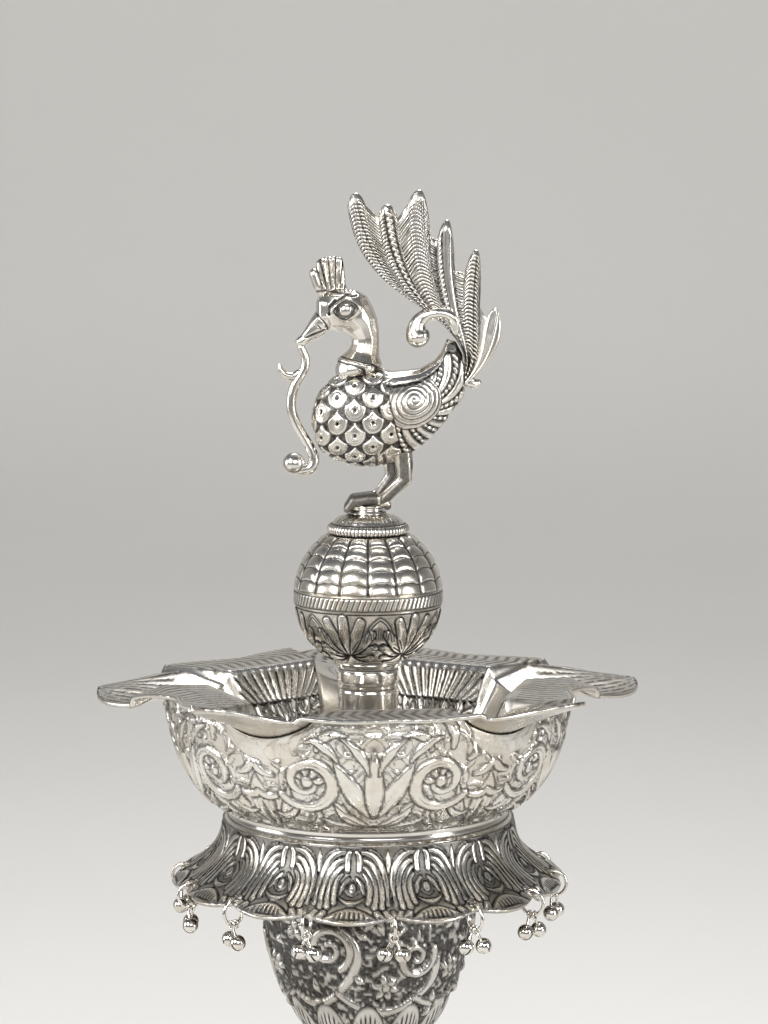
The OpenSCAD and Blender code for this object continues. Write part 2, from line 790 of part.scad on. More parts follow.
// One leg from thigh to ankle, with three toes over the front of the post and one behind
module leg(hip, knee, ankle, y) {
  run([[hip.x, y, hip.y, 2.4], [(hip.x + knee.x) / 2 + 0.3, y, (hip.y + knee.y) / 2, 2],
    [knee.x, y, knee.y, 1.5], [ankle.x, y, ankle.y, 1.1]]);
  for (toe = [-1, 0, 1])
    run([[ankle.x, y, ankle.y, 1.1], [0.5, y + 0.8 * toe, 1.9, 1.2],
      [-4.2, y + 1.6 * toe, 1.3, 1.1], [-6, y + 1.9 * toe, -0.9, 0.7]]);
  run([[ankle.x, y, ankle.y, 1.1], [5.6, y, -0.3, 0.7]]);
}

module bird_body() {
  color(silver)
    at_bird()
      difference() {
        union() {
          loft(body_sections);
          leg([10, 15.5], [10.6, 7.6], [4.2, 1.6], -3);
          leg([6.4, 14], [7, 8.2], [2.8, 2.2], 3);
        }
        translate([neck_seat.x, 0, neck_seat.y])
          rotate([0, neck_tilt, 0]) cylinder(r = neck_seat_r + seam / bird_k, h = 12);
        translate([0, 0, -30 + seam / bird_k]) cylinder(r = (post_r + seam) / bird_k, h = 30);
      }
}

// Neck, head, beak and crest
module bird_head() {
  neck = [[-2.2, 38, 5.8], [-1.5, 42.2, 4.9], [-0.7, 45.6, 4.1], [-0.8, 49, 4.1], [-2, 52.4, 4.9],
    [-4.8, 55.8, 6.3], [-8, 56, 6.1], [-9.2, 57, 5.1]];
  beak = [[-10.4, 54.4, 3.8], [-13.2, 52.4, 2.7], [-15.8, 50, 1.9], [-19.2, 47.4, 0.9]];
  crest_roots = [[-12.2, 60.4], [-11.2, 61], [-10, 61.5], [-8.6, 61.8], [-7.2, 61.8]];
  crest_tips = [[-14.9, 66.4], [-13, 69.2], [-11.3, 70.5], [-9.6, 70.6], [-8.1, 70.2]];
  color(silver)
    at_bird()
      difference() {
        union() {
          run([for (p = neck) [p.x, 0, p.y, p.z]]);
          run([for (p = beak) [p.x, 0, p.y, p.z]]);
          for (i = [0:4])
            let (root = crest_roots[i], tip = crest_tips[i])
              run([[root.x, 0, root.y, 1],
                [0.5 * (root.x + tip.x) - 0.3, 0, 0.5 * (root.y + tip.y), 1.1],
                [tip.x, 0, tip.y, 0.95]]);
        }
        translate([neck_seat.x, 0, neck_seat.y])
          rotate([0, neck_tilt, 0]) translate([0, 0, -20 + seam / bird_k]) cylinder(r = 12, h = 20);
      }
}

// Fan of plumes: each plume is a ridge that ends in its own round tip
plume_tips = [[-3.6, 89.6], [5.5, 86.4], [14.9, 90.5], [22.8, 82], [31.2, 73.4], [36.7, 56.8]];
plume_half_w = [3, 3.2, 3.8, 3.2, 3.2, 2.4];
plume_notch = [[7, 8], [7, 8], [8, 26], [12, 28], [14, 32], [7, 12]];
plume_steps = 6;
plume_rows = 14;
fan_root = [[27.7, 41.5], [27.7, 34.6]];
fan_rise = [[26.5, 58], [34.5, 39]];
fan_sweep = [[-3.4, 58], [39, 47]];

function mix(a, b, t) = a + (b - a) * t;
function unit(v) = v / norm(v);

// End of the fan at plume k, a share f of the way across it
function plume_end(k, f) =
  let (
    g = 2 * f - 1,
    along = unit(plume_tips[k] - mix(fan_sweep[0], fan_sweep[1], (k + 0.5) / 6)),
    across = [along.y, -along.x],
    notch = plume_notch[k][g < 0 ? 0 : 1]
  )
  plume_tips[k] + across * g * plume_half_w[k] - along * notch * (1 - sqrt(1 - 0.98 * g * g));
function fan_columns() =
  [for (k = [0:len(plume_tips) - 1], i = [0:plume_steps]) [k, 0.06 + 0.88 * i / plume_steps]];
function fan_line(k, f) =
  let (t = (k + f) / len(plume_tips))
  bezier(mix(fan_root[0], fan_root[1], t), mix(fan_rise[0], fan_rise[1], t),
    mix(fan_sweep[0], fan_sweep[1], t), plume_end(k, f), plume_rows);

module fan() {
  columns = fan_columns();
  n = len(columns);
  rows = plume_rows + 1;
  count = n * rows;
  lines = [for (c = columns) fan_line(c[0], c[1])];
  function thick(i, j) =
    let (g = 2 * columns[i][1] - 1, s = j / plume_rows)
    0.7 + (1.9 - 0.9 * s) * sqrt(1 - pow(g, 4));
  points = [for (side = [-1, 1], i = [0:n - 1], j = [0:rows - 1])
    [lines[i][j].x, side * thick(i, j), lines[i][j].y]];
  function at(i, j) = i * rows + j;
  skin = [for (i = [0:n - 2], j = [0:rows - 2]) each [
    [at(i, j), at(i + 1, j + 1), at(i + 1, j)],
    [at(i, j), at(i, j + 1), at(i + 1, j + 1)],
    [count + at(i, j), count + at(i + 1, j), count + at(i + 1, j + 1)],
    [count + at(i, j), count + at(i + 1, j + 1), count + at(i, j + 1)]]];
  ends = [for (i = [0:n - 2]) each [
    [at(i, 0), at(i + 1, 0), count + at(i + 1, 0)],
    [at(i, 0), count + at(i + 1, 0), count + at(i, 0)],
    [at(i, rows - 1), count + at(i + 1, rows - 1), at(i + 1, rows - 1)],
    [at(i, rows - 1), count + at(i, rows - 1), count + at(i + 1, rows - 1)]]];
  sides = [for (j = [0:rows - 2]) each [
    [at(0, j), count + at(0, j + 1), at(0, j + 1)],
    [at(0, j), count + at(0, j), count + at(0, j + 1)],
    [at(n - 1, j), at(n - 1, j + 1), count + at(n - 1, j + 1)],
    [at(n - 1, j), count + at(n - 1, j + 1), count + at(n - 1, j)]]];
  polyhedron(points = points, faces = concat(skin, ends, sides));
}

module bird_tail() {
  scroll = [[25, 50.2, 1.8], [24.9, 53.1, 2.1], [22.8, 54.9, 2.2], [19.8, 55.3, 2.2], [16.8, 54.5, 2.1],
    [14.6, 52.8, 2.3], [13.9, 50.4, 2.9], [14.3, 48.8, 3.5]];
  bud = [[28.6, 35.4, 1.4], [30.4, 35, 1.7], [31.6, 35.2, 1.1]];
  color(silver)
    at_bird() {
      fan();
      run([for (p = scroll) [p.x, 0, p.y, p.z]]);
      run([for (p = bud) [p.x, 0, p.y, p.z]]);
    }
}

// Vine that hangs from the beak, with a side curl and a berry at its end
module beak_vine() {
  stem = [[-19.2, 44.8, 1], [-18, 42.4, 1.2], [-18.2, 39.6, 1.3], [-19.6, 37, 1.3], [-21, 34.6, 1.3],
    [-22, 31.2, 1.4], [-22, 27.2, 1.4], [-20.6, 23.2, 1.4], [-18.4, 19.4, 1.4], [-16.4, 15.8, 1.4],
    [-15.6, 13, 1.4], [-16.8, 10.4, 1.5], [-19.2, 9.4, 1.9], [-21.4, 11, 2.7]];
  curl = [[-19.6, 37, 1.2], [-22.2, 36.4, 1], [-24.4, 37, 0.8], [-25.6, 39, 0.6]];
  color(silver)
    at_bird() {
      run([for (p = stem) [p.x, 0, p.y, p.z]]);
      run([for (p = curl) [p.x, 0, p.y, p.z]]);
    }
}

base_nut();
base_washer();
base_plate();
foot_ring();
base_bell();
lower_knop();
stem_tube();
vase_knop();
stem_vase();
skirt();
bowl_collar();
bowl_shell();
bowl_spacer();
oil_pan();
neck_tube();
globe_lower();
globe_band();
globe_upper();
tie_rod();
finial_cap();
finial_post();
bird_body();
bird_head();
bird_tail();
beak_vine();
for (i = BELLS) bell_ring(i);
for (i = BELLS) bell_pair(i);
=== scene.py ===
import math

import bmesh
import bpy
import numpy as np
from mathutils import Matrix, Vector


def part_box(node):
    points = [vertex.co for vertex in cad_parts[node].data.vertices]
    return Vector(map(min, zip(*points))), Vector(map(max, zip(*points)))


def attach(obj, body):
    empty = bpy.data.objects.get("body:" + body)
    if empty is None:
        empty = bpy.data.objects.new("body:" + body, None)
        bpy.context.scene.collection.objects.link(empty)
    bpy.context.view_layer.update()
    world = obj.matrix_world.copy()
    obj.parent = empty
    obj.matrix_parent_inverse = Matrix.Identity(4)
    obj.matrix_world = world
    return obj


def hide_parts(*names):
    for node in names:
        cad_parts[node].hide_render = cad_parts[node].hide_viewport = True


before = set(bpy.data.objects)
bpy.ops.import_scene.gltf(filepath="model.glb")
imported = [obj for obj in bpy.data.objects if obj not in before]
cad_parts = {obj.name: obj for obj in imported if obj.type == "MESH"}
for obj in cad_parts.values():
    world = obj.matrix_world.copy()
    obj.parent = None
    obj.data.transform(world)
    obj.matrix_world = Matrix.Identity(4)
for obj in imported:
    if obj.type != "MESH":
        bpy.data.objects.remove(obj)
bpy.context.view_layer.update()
scene = bpy.context.scene
scene.view_settings.view_transform = "Standard"
print("frame loaded:", len(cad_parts), "nodes")

mm = 0.001
frontTurn = -90.0  # the viewer stands at -Y, so this is the side that the photograph shows


# camera at the photograph's height and distance, long side of the image on the sensor's width
cameraView = {"at": (4.6, -875, 430), "pitch": 6.52, "lens": 107, "sensor": 36}
camera = bpy.data.cameras.new("photoCamera")
camera.lens = cameraView["lens"]
camera.sensor_width = cameraView["sensor"]
camera.sensor_fit = "AUTO"
camera.clip_start, camera.clip_end = 0.01, 100
cameraObject = bpy.data.objects.new("photoCamera", camera)
cameraObject.location = Vector(cameraView["at"]) * mm
cameraObject.rotation_euler = (math.radians(90 - cameraView["pitch"]), 0, 0)
scene.collection.objects.link(cameraObject)
scene.camera = cameraObject
print("camera placed")


# small tools for curves and surfaces, all in millimetres

def hexColour(code):
    parts = [int(code[i:i + 2], 16) / 255 for i in (1, 3, 5)]
    return [c / 12.92 if c <= 0.04045 else ((c + 0.055) / 1.055) ** 2.4 for c in parts] + [1.0]


def smoothStep(low, high, x):
    t = np.clip((x - low) / (high - low), 0, 1)
    return t * t * (3 - 2 * t)


def bezier(a, b, c, d, steps):
    t = np.linspace(0, 1, steps + 1)[:, None]
    u = 1 - t
    a, b, c, d = (np.asarray(p, float) for p in (a, b, c, d))
    return u ** 3 * a + 3 * u * u * t * b + 3 * u * t * t * c + t ** 3 * d


def bend(a, b, c, steps=9):
    t = np.linspace(0, 1, steps + 1)[:, None]
    a, b, c = (np.asarray(p, float) for p in (a, b, c))
    return (1 - t) ** 2 * a + 2 * t * (1 - t) * b + t * t * c


def spiral(centre, r0, r1, a0, a1, steps=40):
    t = np.linspace(0, 1, steps + 1)
    angle = np.radians(a0 + (a1 - a0) * t)
    r = r0 + (r1 - r0) * t
    return np.stack([centre[0] + r * np.cos(angle), centre[1] + r * np.sin(angle)], 1)


def throughPoints(points, steps):
    p = np.asarray(points, float)  # even points on a smooth curve through the given ones
    p = np.vstack([2 * p[0] - p[1], p, 2 * p[-1] - p[-2]])
    out = []
    for i in range(1, len(p) - 2):
        for t in np.linspace(0, 1, 12, endpoint=False):
            a, b, c, d = p[i - 1:i + 3]
            out.append(0.5 * (2 * b + (c - a) * t + (2 * a - 5 * b + 4 * c - d) * t * t
                              + (3 * b - a - 3 * c + d) * t ** 3))
    out = np.array(out + [p[-2]])
    return evenPoints(out, steps)


def runLength(line):
    return np.concatenate([[0], np.cumsum(np.linalg.norm(np.diff(line[:, :2], axis=0), axis=1))])


def evenPoints(line, steps):
    run = runLength(line)
    at = np.linspace(0, run[-1], steps + 1)
    return np.stack([np.interp(at, run, line[:, k]) for k in range(line.shape[1])], 1)


def outward(line):
    d = np.gradient(line, axis=0)  # the face runs downwards, so outwards is on its left
    n = np.stack([-d[:, 1], d[:, 0]], 1)
    return n / np.linalg.norm(n, axis=1)[:, None]


def strokeDistance(px, py, lines, far=9.0):
    best = np.full(px.shape, far)
    for line in lines:
        low, high = line.min(0) - 1.5, line.max(0) + 1.5
        near = np.nonzero((px > low[0]) & (px < high[0]) & (py > low[1]) & (py < high[1]))[0]
        qx, qy, got = px[near], py[near], best[near]
        for (ax, ay), (bx, by) in zip(line[:-1], line[1:]):
            ux, uy = bx - ax, by - ay
            t = np.clip(((qx - ax) * ux + (qy - ay) * uy) / (ux * ux + uy * uy + 1e-9), 0, 1)
            got = np.minimum(got, np.hypot(qx - ax - t * ux, qy - ay - t * uy))
        best[near] = got
    return best


def ink(distance, half=0.22, soft=0.14):
    return 1 - smoothStep(half - soft, half + soft, distance)


def lineOn(offset, half=0.22, soft=0.14):
    return ink(np.abs(offset), half, soft)


# nought in the middle of each unit step, one at its ends
def zigzag(x):
    return np.abs(x % 1 - 0.5) * 2


# height of a half-round rib whose edge lies at one
def roundTop(x):
    return np.sqrt(np.clip(1 - x ** 2, 0, 1))


def fadeEnds(run, total, reach):
    return smoothStep(0, reach, run) * smoothStep(0, reach, total - run)


def compass(degrees):
    a = math.radians(degrees)
    return math.cos(a), math.sin(a)


# direction of a leaf in an upright fan
def fanOut(degrees, side):
    c, s = compass(degrees)
    return s * side, -c


# raised leaves laid one over another, each with a dark line at its edge
def layLeaves(px, py, leaves, height, oxide, rise=0.55, line=0.24, dark=1.0, crease=0.0):
    for path, width in leaves:
        w = np.interp(np.linspace(0, 1, len(path)), np.linspace(0, 1, len(width)), width)
        low, high = path.min(0) - w.max() - 1, path.max(0) + w.max() + 1
        near = np.nonzero((px > low[0]) & (px < high[0]) & (py > low[1]) & (py < high[1]))[0]
        if not near.size:
            continue
        qx, qy = px[near], py[near]
        gap, ratio, wide = np.full(qx.shape, 9.0), np.full(qx.shape, 9.0), np.ones(qx.shape)
        for i in range(len(path) - 1):
            (ax, ay), (bx, by) = path[i], path[i + 1]
            ux, uy = bx - ax, by - ay
            t = np.clip(((qx - ax) * ux + (qy - ay) * uy) / (ux * ux + uy * uy + 1e-9), 0, 1)
            d = np.hypot(qx - ax - t * ux, qy - ay - t * uy)
            here = w[i] + (w[i + 1] - w[i]) * t
            closer = d - here < gap
            gap = np.where(closer, d - here, gap)
            ratio = np.where(closer, d / np.maximum(here, 0.05), ratio)
            wide = np.where(closer, here, wide)
        inside = gap < 0
        dome = roundTop(ratio) * rise * np.clip(wide / 1.2, 0.3, 1)
        dome -= crease * ink(ratio, 0.16, 0.14) * np.clip(wide - 0.6, 0, 1)
        height[near] = np.where(inside, dome, height[near])
        oxide[near] = np.where(gap < -line, 0, oxide[near])
        oxide[near] = np.maximum(oxide[near], dark * lineOn(gap, line))


def grain(px, py, size, seed):
    fx, fy = px / size, py / size  # value noise from a hashed grid, the same in every run
    ix, iy = np.floor(fx), np.floor(fy)

    def corner(cx, cy):
        v = np.sin(cx * 127.1 + cy * 311.7 + seed * 74.7) * 43758.5453
        return v - np.floor(v)

    tx, ty = fx - ix, fy - iy
    tx, ty = tx * tx * (3 - 2 * tx), ty * ty * (3 - 2 * ty)
    low = corner(ix, iy) * (1 - tx) + corner(ix + 1, iy) * tx
    high = corner(ix, iy + 1) * (1 - tx) + corner(ix + 1, iy + 1) * tx
    return low * (1 - ty) + high * ty


def sectorAngle(turn, count, centre):
    step = 2 * math.pi / count  # signed angle from the nearest motif's middle
    return (turn - math.radians(centre) + step / 2) % step - step / 2


# place in the plane that touches a turned face at one point: down the face, and sideways
def facePlane(at, slope, angle, r, z):
    d = np.asarray(slope, float) / np.linalg.norm(slope)
    return (r * np.cos(angle) - at[0]) * d[0] + (z - at[1]) * d[1], r * np.sin(angle)


def newMesh(name, bm):
    mesh = bpy.data.meshes.new(name)
    bm.to_mesh(mesh)
    bm.free()
    return mesh


def polar(co):
    return np.hypot(co[:, 0], co[:, 1]), np.arctan2(co[:, 1], co[:, 0])


def around(r, turn, z):
    return np.stack([r * np.cos(turn), r * np.sin(turn), z], 1)


# one sector is spun finely, then copied round the axis
def spunMesh(name, loop, steps):
    sectors = min((k for k in range(2, steps) if steps % k == 0), key=lambda k: abs(k - math.sqrt(steps)))
    turn = {"cent": (0, 0, 0), "axis": (0, 0, 1)}
    bm = bmesh.new()
    ring = [bm.verts.new((r, 0, z)) for r, z in loop]
    edges = [bm.edges.new((a, b)) for a, b in zip(ring, ring[1:] + ring[:1])]
    bmesh.ops.spin(bm, geom=ring + edges, angle=math.tau / sectors, steps=steps // sectors, **turn)
    bmesh.ops.spin(bm, geom=bm.verts[:] + bm.edges[:] + bm.faces[:], angle=math.tau * (sectors - 1) / sectors,
                   steps=sectors - 1, use_duplicate=True, **turn)
    bmesh.ops.remove_doubles(bm, verts=bm.verts, dist=5e-4)
    bmesh.ops.recalc_face_normals(bm, faces=bm.faces)
    return newMesh(name, bm)


def pointsOf(mesh):
    co = np.zeros(len(mesh.vertices) * 3, np.float32)
    mesh.vertices.foreach_get("co", co)
    return co.reshape(-1, 3).astype(float)


def setPoints(mesh, co):
    mesh.vertices.foreach_set("co", co.astype(np.float32).ravel())
    mesh.update()


def setOxide(mesh, oxide):
    layer = mesh.attributes.new("oxide", "FLOAT", "POINT")
    layer.data.foreach_set("value", np.clip(oxide, 0, 1).astype(np.float32))


def nearestOnLoop(r, z, loop):
    found = np.zeros(len(r), int)
    for i in range(0, len(r), 20000):
        part = slice(i, i + 20000)
        found[part] = np.argmin((r[part, None] - loop[None, :, 0]) ** 2
                                + (z[part, None] - loop[None, :, 1]) ** 2, 1)
    return found


def placePiece(mesh, nodes, material, body="lamp", scaled=True):
    if scaled:
        setPoints(mesh, pointsOf(mesh) * mm)
    mesh.materials.clear()
    mesh.materials.append(material)
    mesh.polygons.foreach_set("use_smooth", [True] * len(mesh.polygons))
    piece = bpy.data.objects.new(mesh.name, mesh)
    scene.collection.objects.link(piece)
    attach(piece, body)
    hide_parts(*nodes)
    print(mesh.name, len(mesh.polygons), "faces")
    return piece


# a turned shell: relief(turn, run, radius) gives the height and the oxide of the outer face
def turnedShell(name, outer, inner, steps, relief, reach=None):
    loop = np.vstack([outer, inner[::-1]])
    mesh = spunMesh(name, loop, steps)
    co = pointsOf(mesh)
    r, turn = polar(co)
    index = nearestOnLoop(r, co[:, 2], loop)
    onFace = index < len(outer)
    k = np.minimum(index, len(outer) - 1)
    j = np.clip(len(loop) - 1 - index, 0, len(inner) - 1)
    outerRun, innerRun, normal = runLength(outer), runLength(inner), outward(outer)
    share = 1.0 if reach is None else reach(turn)
    run = outerRun[k] * share
    face = [np.interp(run, outerRun, outer[:, i]) for i in (0, 1)]
    back = [np.interp(innerRun[j] * share, innerRun, inner[:, i]) for i in (0, 1)]
    lift = [np.interp(run, outerRun, normal[:, i]) for i in (0, 1)]
    height, oxide = relief(turn, run, face[0])
    newR = np.where(onFace, face[0] + height * lift[0], back[0])
    newZ = np.where(onFace, face[1] + height * lift[1], back[1])
    setPoints(mesh, around(newR, turn, newZ))
    setOxide(mesh, np.where(onFace, oxide, 0.35))
    return mesh


def thinned(line, wall):
    return line - wall * outward(line)


def addNode(tree, kind, inputs=None, **settings):
    node = tree.nodes.new(kind)
    for key, value in settings.items():
        setattr(node, key, value)
    for socket, value in (inputs or {}).items():
        if isinstance(value, bpy.types.NodeSocket):
            tree.links.new(value, node.inputs[socket])
        else:
            node.inputs[socket].default_value = value
    return node


def newMaterial(name):
    material = bpy.data.materials.new(name)
    material.use_nodes = True
    tree = material.node_tree
    tree.nodes.clear()
    shader = addNode(tree, "ShaderNodeBsdfPrincipled")
    addNode(tree, "ShaderNodeOutputMaterial", {"Surface": shader.outputs["BSDF"]})
    return material, tree, shader


# Silver plate, raised and chased by hand, dipped in liver of sulphur and buffed: the high parts are
# bright and slightly uneven, the chased lines stay black, and a faint warm tarnish lies in patches.
def oxidisedSilver(name, bright, tarnish, black, polish, tarnishSize=14, dentSize=2.6, scratchSize=0.35):
    material, tree, shader = newMaterial(name)
    place = addNode(tree, "ShaderNodeTexCoord")
    # the oxide attribute is mostly real black patina in the chasing; on the globe's tiles it also holds a
    # painted shadow along each tile's top edge
    oxide = addNode(tree, "ShaderNodeAttribute", attribute_name="oxide")
    patches = addNode(tree, "ShaderNodeTexNoise", {
        "Vector": place.outputs["Object"], "Scale": 1 / (tarnishSize * mm), "Detail": 5.0, "Roughness": 0.6})
    patchShare = addNode(tree, "ShaderNodeMapRange", {
        "Value": patches.outputs["Fac"], "From Min": 0.42, "From Max": 0.72, "To Min": 0.0, "To Max": 0.75})
    metal = addNode(tree, "ShaderNodeMix", {
        "Factor": patchShare.outputs["Result"], "A": hexColour(bright), "B": hexColour(tarnish)},
        data_type="RGBA")
    fleck = addNode(tree, "ShaderNodeTexNoise", {
        "Vector": place.outputs["Object"], "Scale": 1 / (0.9 * mm), "Detail": 3.0})
    lift = addNode(tree, "ShaderNodeMath", {0: fleck.outputs["Fac"], 1: 0.5}, operation="MULTIPLY_ADD")
    lift.inputs[2].default_value = 0.68
    share = addNode(tree, "ShaderNodeMath", {0: oxide.outputs["Fac"], 1: lift.outputs["Value"]},
                    operation="MULTIPLY", use_clamp=True)
    colour = addNode(tree, "ShaderNodeMix", {
        "Factor": share.outputs["Value"], "A": metal.outputs[2], "B": hexColour(black)}, data_type="RGBA")
    dull = addNode(tree, "ShaderNodeMapRange", {
        "Value": patches.outputs["Fac"], "From Min": 0.3, "From Max": 0.75,
        "To Min": polish, "To Max": polish + 0.13})
    rough = addNode(tree, "ShaderNodeMix", {
        "Factor": share.outputs["Value"], "A": dull.outputs["Result"], "B": 0.55}, data_type="FLOAT")
    dents = addNode(tree, "ShaderNodeTexVoronoi", {
        "Vector": place.outputs["Object"], "Scale": 1 / (dentSize * mm), "Smoothness": 1.0},
        feature="SMOOTH_F1")
    scratches = addNode(tree, "ShaderNodeTexNoise", {
        "Vector": place.outputs["Object"], "Scale": 1 / (scratchSize * mm), "Detail": 2.0, "Distortion": 1.5})
    fine = addNode(tree, "ShaderNodeBump", {
        "Height": scratches.outputs["Fac"], "Strength": 0.10, "Distance": 0.05 * mm})
    soft = addNode(tree, "ShaderNodeBump", {
        "Height": dents.outputs["Distance"], "Strength": 0.16, "Distance": 0.22 * mm,
        "Normal": fine.outputs["Normal"]})
    shader.inputs["Metallic"].default_value = 1.0
    tree.links.new(colour.outputs[2], shader.inputs["Base Color"])
    tree.links.new(rough.outputs[0], shader.inputs["Roughness"])
    tree.links.new(soft.outputs["Normal"], shader.inputs["Normal"])
    return material


brightSilver = oxidisedSilver("oxidised silver plate", "#e2dfd9", "#bfb3a0", "#0e0c0a", 0.18)
darkSilver = oxidisedSilver("antiqued silver plate", "#c9c6c1", "#8f887d", "#0f0e0d", 0.16)
plainSilver = oxidisedSilver("plain silver plate", "#dcd9d4", "#c3bbad", "#15120f", 0.09, 22, 5.0)


# Zinc-plated mild steel: a cool grey with a fine drawn grain along the bar
def platedSteel():
    material, tree, shader = newMaterial("zinc-plated steel")
    place = addNode(tree, "ShaderNodeTexCoord")
    drawn = addNode(tree, "ShaderNodeMapping", {"Vector": place.outputs["Object"], "Scale": (1, 1, 0.05)})
    lines = addNode(tree, "ShaderNodeTexNoise", {
        "Vector": drawn.outputs["Vector"], "Scale": 1 / (0.4 * mm), "Detail": 3.0})
    tone = addNode(tree, "ShaderNodeMix", {
        "Factor": lines.outputs["Fac"], "A": hexColour("#b9bcc0"), "B": hexColour("#8f9398")},
        data_type="RGBA")
    rough = addNode(tree, "ShaderNodeMapRange", {
        "Value": lines.outputs["Fac"], "To Min": 0.26, "To Max": 0.42})
    bump = addNode(tree, "ShaderNodeBump", {
        "Height": lines.outputs["Fac"], "Strength": 0.12, "Distance": 0.03 * mm})
    shader.inputs["Metallic"].default_value = 1.0
    tree.links.new(tone.outputs[2], shader.inputs["Base Color"])
    tree.links.new(rough.outputs["Result"], shader.inputs["Roughness"])
    tree.links.new(bump.outputs["Normal"], shader.inputs["Normal"])
    return material


steel = platedSteel()
print("materials made")


# studio: a pale dish that rises all round, so that every side has the same plain ground
studio = {"floorR": 2.3, "wallR": 3.3, "wallH": 3.2, "colours": ("#d8d6d2", "#d4d2ce"),
          "sky": (0.86, 0.9, 1.0, 1), "skyStrength": 0.16}


def buildStudio():
    wallR = studio["wallR"]
    corner = bezier((studio["floorR"], 0), (wallR, 0), (wallR, 0.3), (wallR, 1.1), 16)
    profile = np.vstack([[[0.0, 0.0], [1.2, 0.0]], corner, [[wallR, studio["wallH"]]]])
    bm = bmesh.new()
    ring = [bm.verts.new((r, 0, z)) for r, z in profile]
    edges = [bm.edges.new((a, b)) for a, b in zip(ring, ring[1:])]
    bmesh.ops.spin(bm, geom=ring + edges, cent=(0, 0, 0), axis=(0, 0, 1), angle=math.tau, steps=96,
                   use_merge=True)
    bmesh.ops.remove_doubles(bm, verts=bm.verts, dist=1e-5)
    bmesh.ops.recalc_face_normals(bm, faces=bm.faces)
    bmesh.ops.reverse_faces(bm, faces=bm.faces)
    mesh = newMesh("studioFloor", bm)
    mesh.polygons.foreach_set("use_smooth", [True] * len(mesh.polygons))
    material, tree, shader = newMaterial("matt studio paper")
    place = addNode(tree, "ShaderNodeTexCoord")
    mottle = addNode(tree, "ShaderNodeTexNoise", {"Vector": place.outputs["Object"], "Scale": 3.0})
    pale, dim = (hexColour(code) for code in studio["colours"])
    tone = addNode(tree, "ShaderNodeMix", {"Factor": mottle.outputs["Fac"], "A": pale, "B": dim},
                   data_type="RGBA")
    tree.links.new(tone.outputs[2], shader.inputs["Base Color"])
    shader.inputs["Roughness"].default_value = 0.9
    mesh.materials.append(material)
    floor = bpy.data.objects.new("studioFloor", mesh)
    scene.collection.objects.link(floor)


def softBox(name, at, aim, size, watts, spread):
    light = bpy.data.lights.new(name, "AREA")
    light.shape = "RECTANGLE"
    light.size, light.size_y = size
    light.energy = watts
    light.spread = math.radians(spread)
    box = bpy.data.objects.new(name, light)
    box.location = at
    box.rotation_euler = (Vector(aim) - Vector(at)).to_track_quat("-Z", "Y").to_euler()
    box.visible_camera = False
    scene.collection.objects.link(box)


# soft boxes in metres, watts and degrees: place, aim, size, power and spread
softBoxes = {
    "keyBox": ((-1.05, -1.25, 1.15), (0, 0, 0.32), (0.6, 0.9), 13, 110),
    "stripBox": ((1.35, -0.75, 0.55), (0, 0, 0.3), (0.3, 1.0), 4.5, 110),
    "topBox": ((0.1, 0.45, 1.75), (0, 0, 0.3), (0.8, 0.8), 8, 110),
    "frontBox": ((0.35, -1.7, 0.95), (0, 0, 0.33), (1.0, 0.6), 4.5, 110),
    "sideBox": ((-1.5, -0.1, 0.55), (0, 0, 0.35), (0.7, 0.9), 3, 110),
    "wallBox": ((0, 0.9, 2.4), (0, 3.2, 0.6), (2.2, 0.8), 26, 140),
}
buildStudio()
for name, settings in softBoxes.items():
    softBox(name, *settings)
world = bpy.data.worlds.new("studioWorld")
world.use_nodes = True
sky = world.node_tree.nodes["Background"]
sky.inputs["Color"].default_value = studio["sky"]
sky.inputs["Strength"].default_value = studio["skyStrength"]
scene.world = world
print("studio lit")


# skirt: fourteen double acanthus palmettes in black line, a scalloped lip, a hole in each valley
skirtSizes = {"r": 57.5, "topR": 42.6, "drop": 18.2, "slope": 30, "scallop": 2.4, "count": 14,
              "firstBell": -82.3, "sheet": 1.0, "holeR": 1.5, "strip": 1.0,
              "motifHalf": 11.6, "motifH": 21.4, "steps": 1008, "rows": 64}


# two mirrored halves of curved feathers, bulb curls at the top, a ball in an eye, a shell at the lip
def mirrored(strokes):
    return [[(side * x, y) for x, y in stroke] for side in (-1, 1) for stroke in strokes]


palmetteFeathers = [
    [(8.2, 15.4), (9.4, 18.6), (11.8, 21.0)], [(6.4, 16.2), (7.4, 18.8), (9.2, 21.4)],
    [(2.6, 1.6), (12.0, 1.8), (10.4, 15.0)], [(2.9, 3.4), (10.2, 4.0), (8.5, 16.2)],
    [(3.2, 5.0), (8.2, 6.2), (6.6, 16.4)], [(3.4, 6.8), (6.4, 8.2), (4.9, 15.0)],
    [(1.1, 1.6), (2.4, 2.6), (1.9, 5.6)], [(3.6, 12.2), (3.0, 9.4), (1.2, 7.8)]]
featherWidths = [[0.6, 1.3, 0.6], [0.6, 1.3, 0.6], [0.6, 1.25, 1.15], [0.6, 1.15, 1.15],
                 [0.5, 1.1, 1.1], [0.5, 1.0, 1.0], [0.7, 1.1, 1.0], [0.5, 1.0, 0.5]]
palmetteArch = [(-11.0, 15.0), (-11.4, 7.5), (-9.6, 2.6), (-5.4, 0.5), (0, 1.1),
                (5.4, 0.5), (9.6, 2.6), (11.4, 7.5), (11.0, 15.0)]
palmetteCurls = [[(7.6, 16.8), (8.6, 18.8), (10.4, 20.6)], [(-2.4, 10.0), (-1.6, 8.6), (0, 8.3)],
                 [(-2.2, 11.6), (-1.2, 12.7), (0, 12.9)]]


def palmetteLeaves():
    leaves = [(bend(*stroke), width) for stroke, width in zip(mirrored(palmetteFeathers), featherWidths * 2)]
    return leaves + [
        (bend((-6.0, 20.6), (0, 16.0), (6.0, 20.6)), [1.0, 2.2, 1.0]),
        (bend((-3.6, 13.4), (0, 16.6), (3.6, 13.4)), [0.4, 1.0, 0.4]),
        (np.array([(0.0, 10.2), (0.0, 10.8)]), [1.2, 1.2]),
    ]


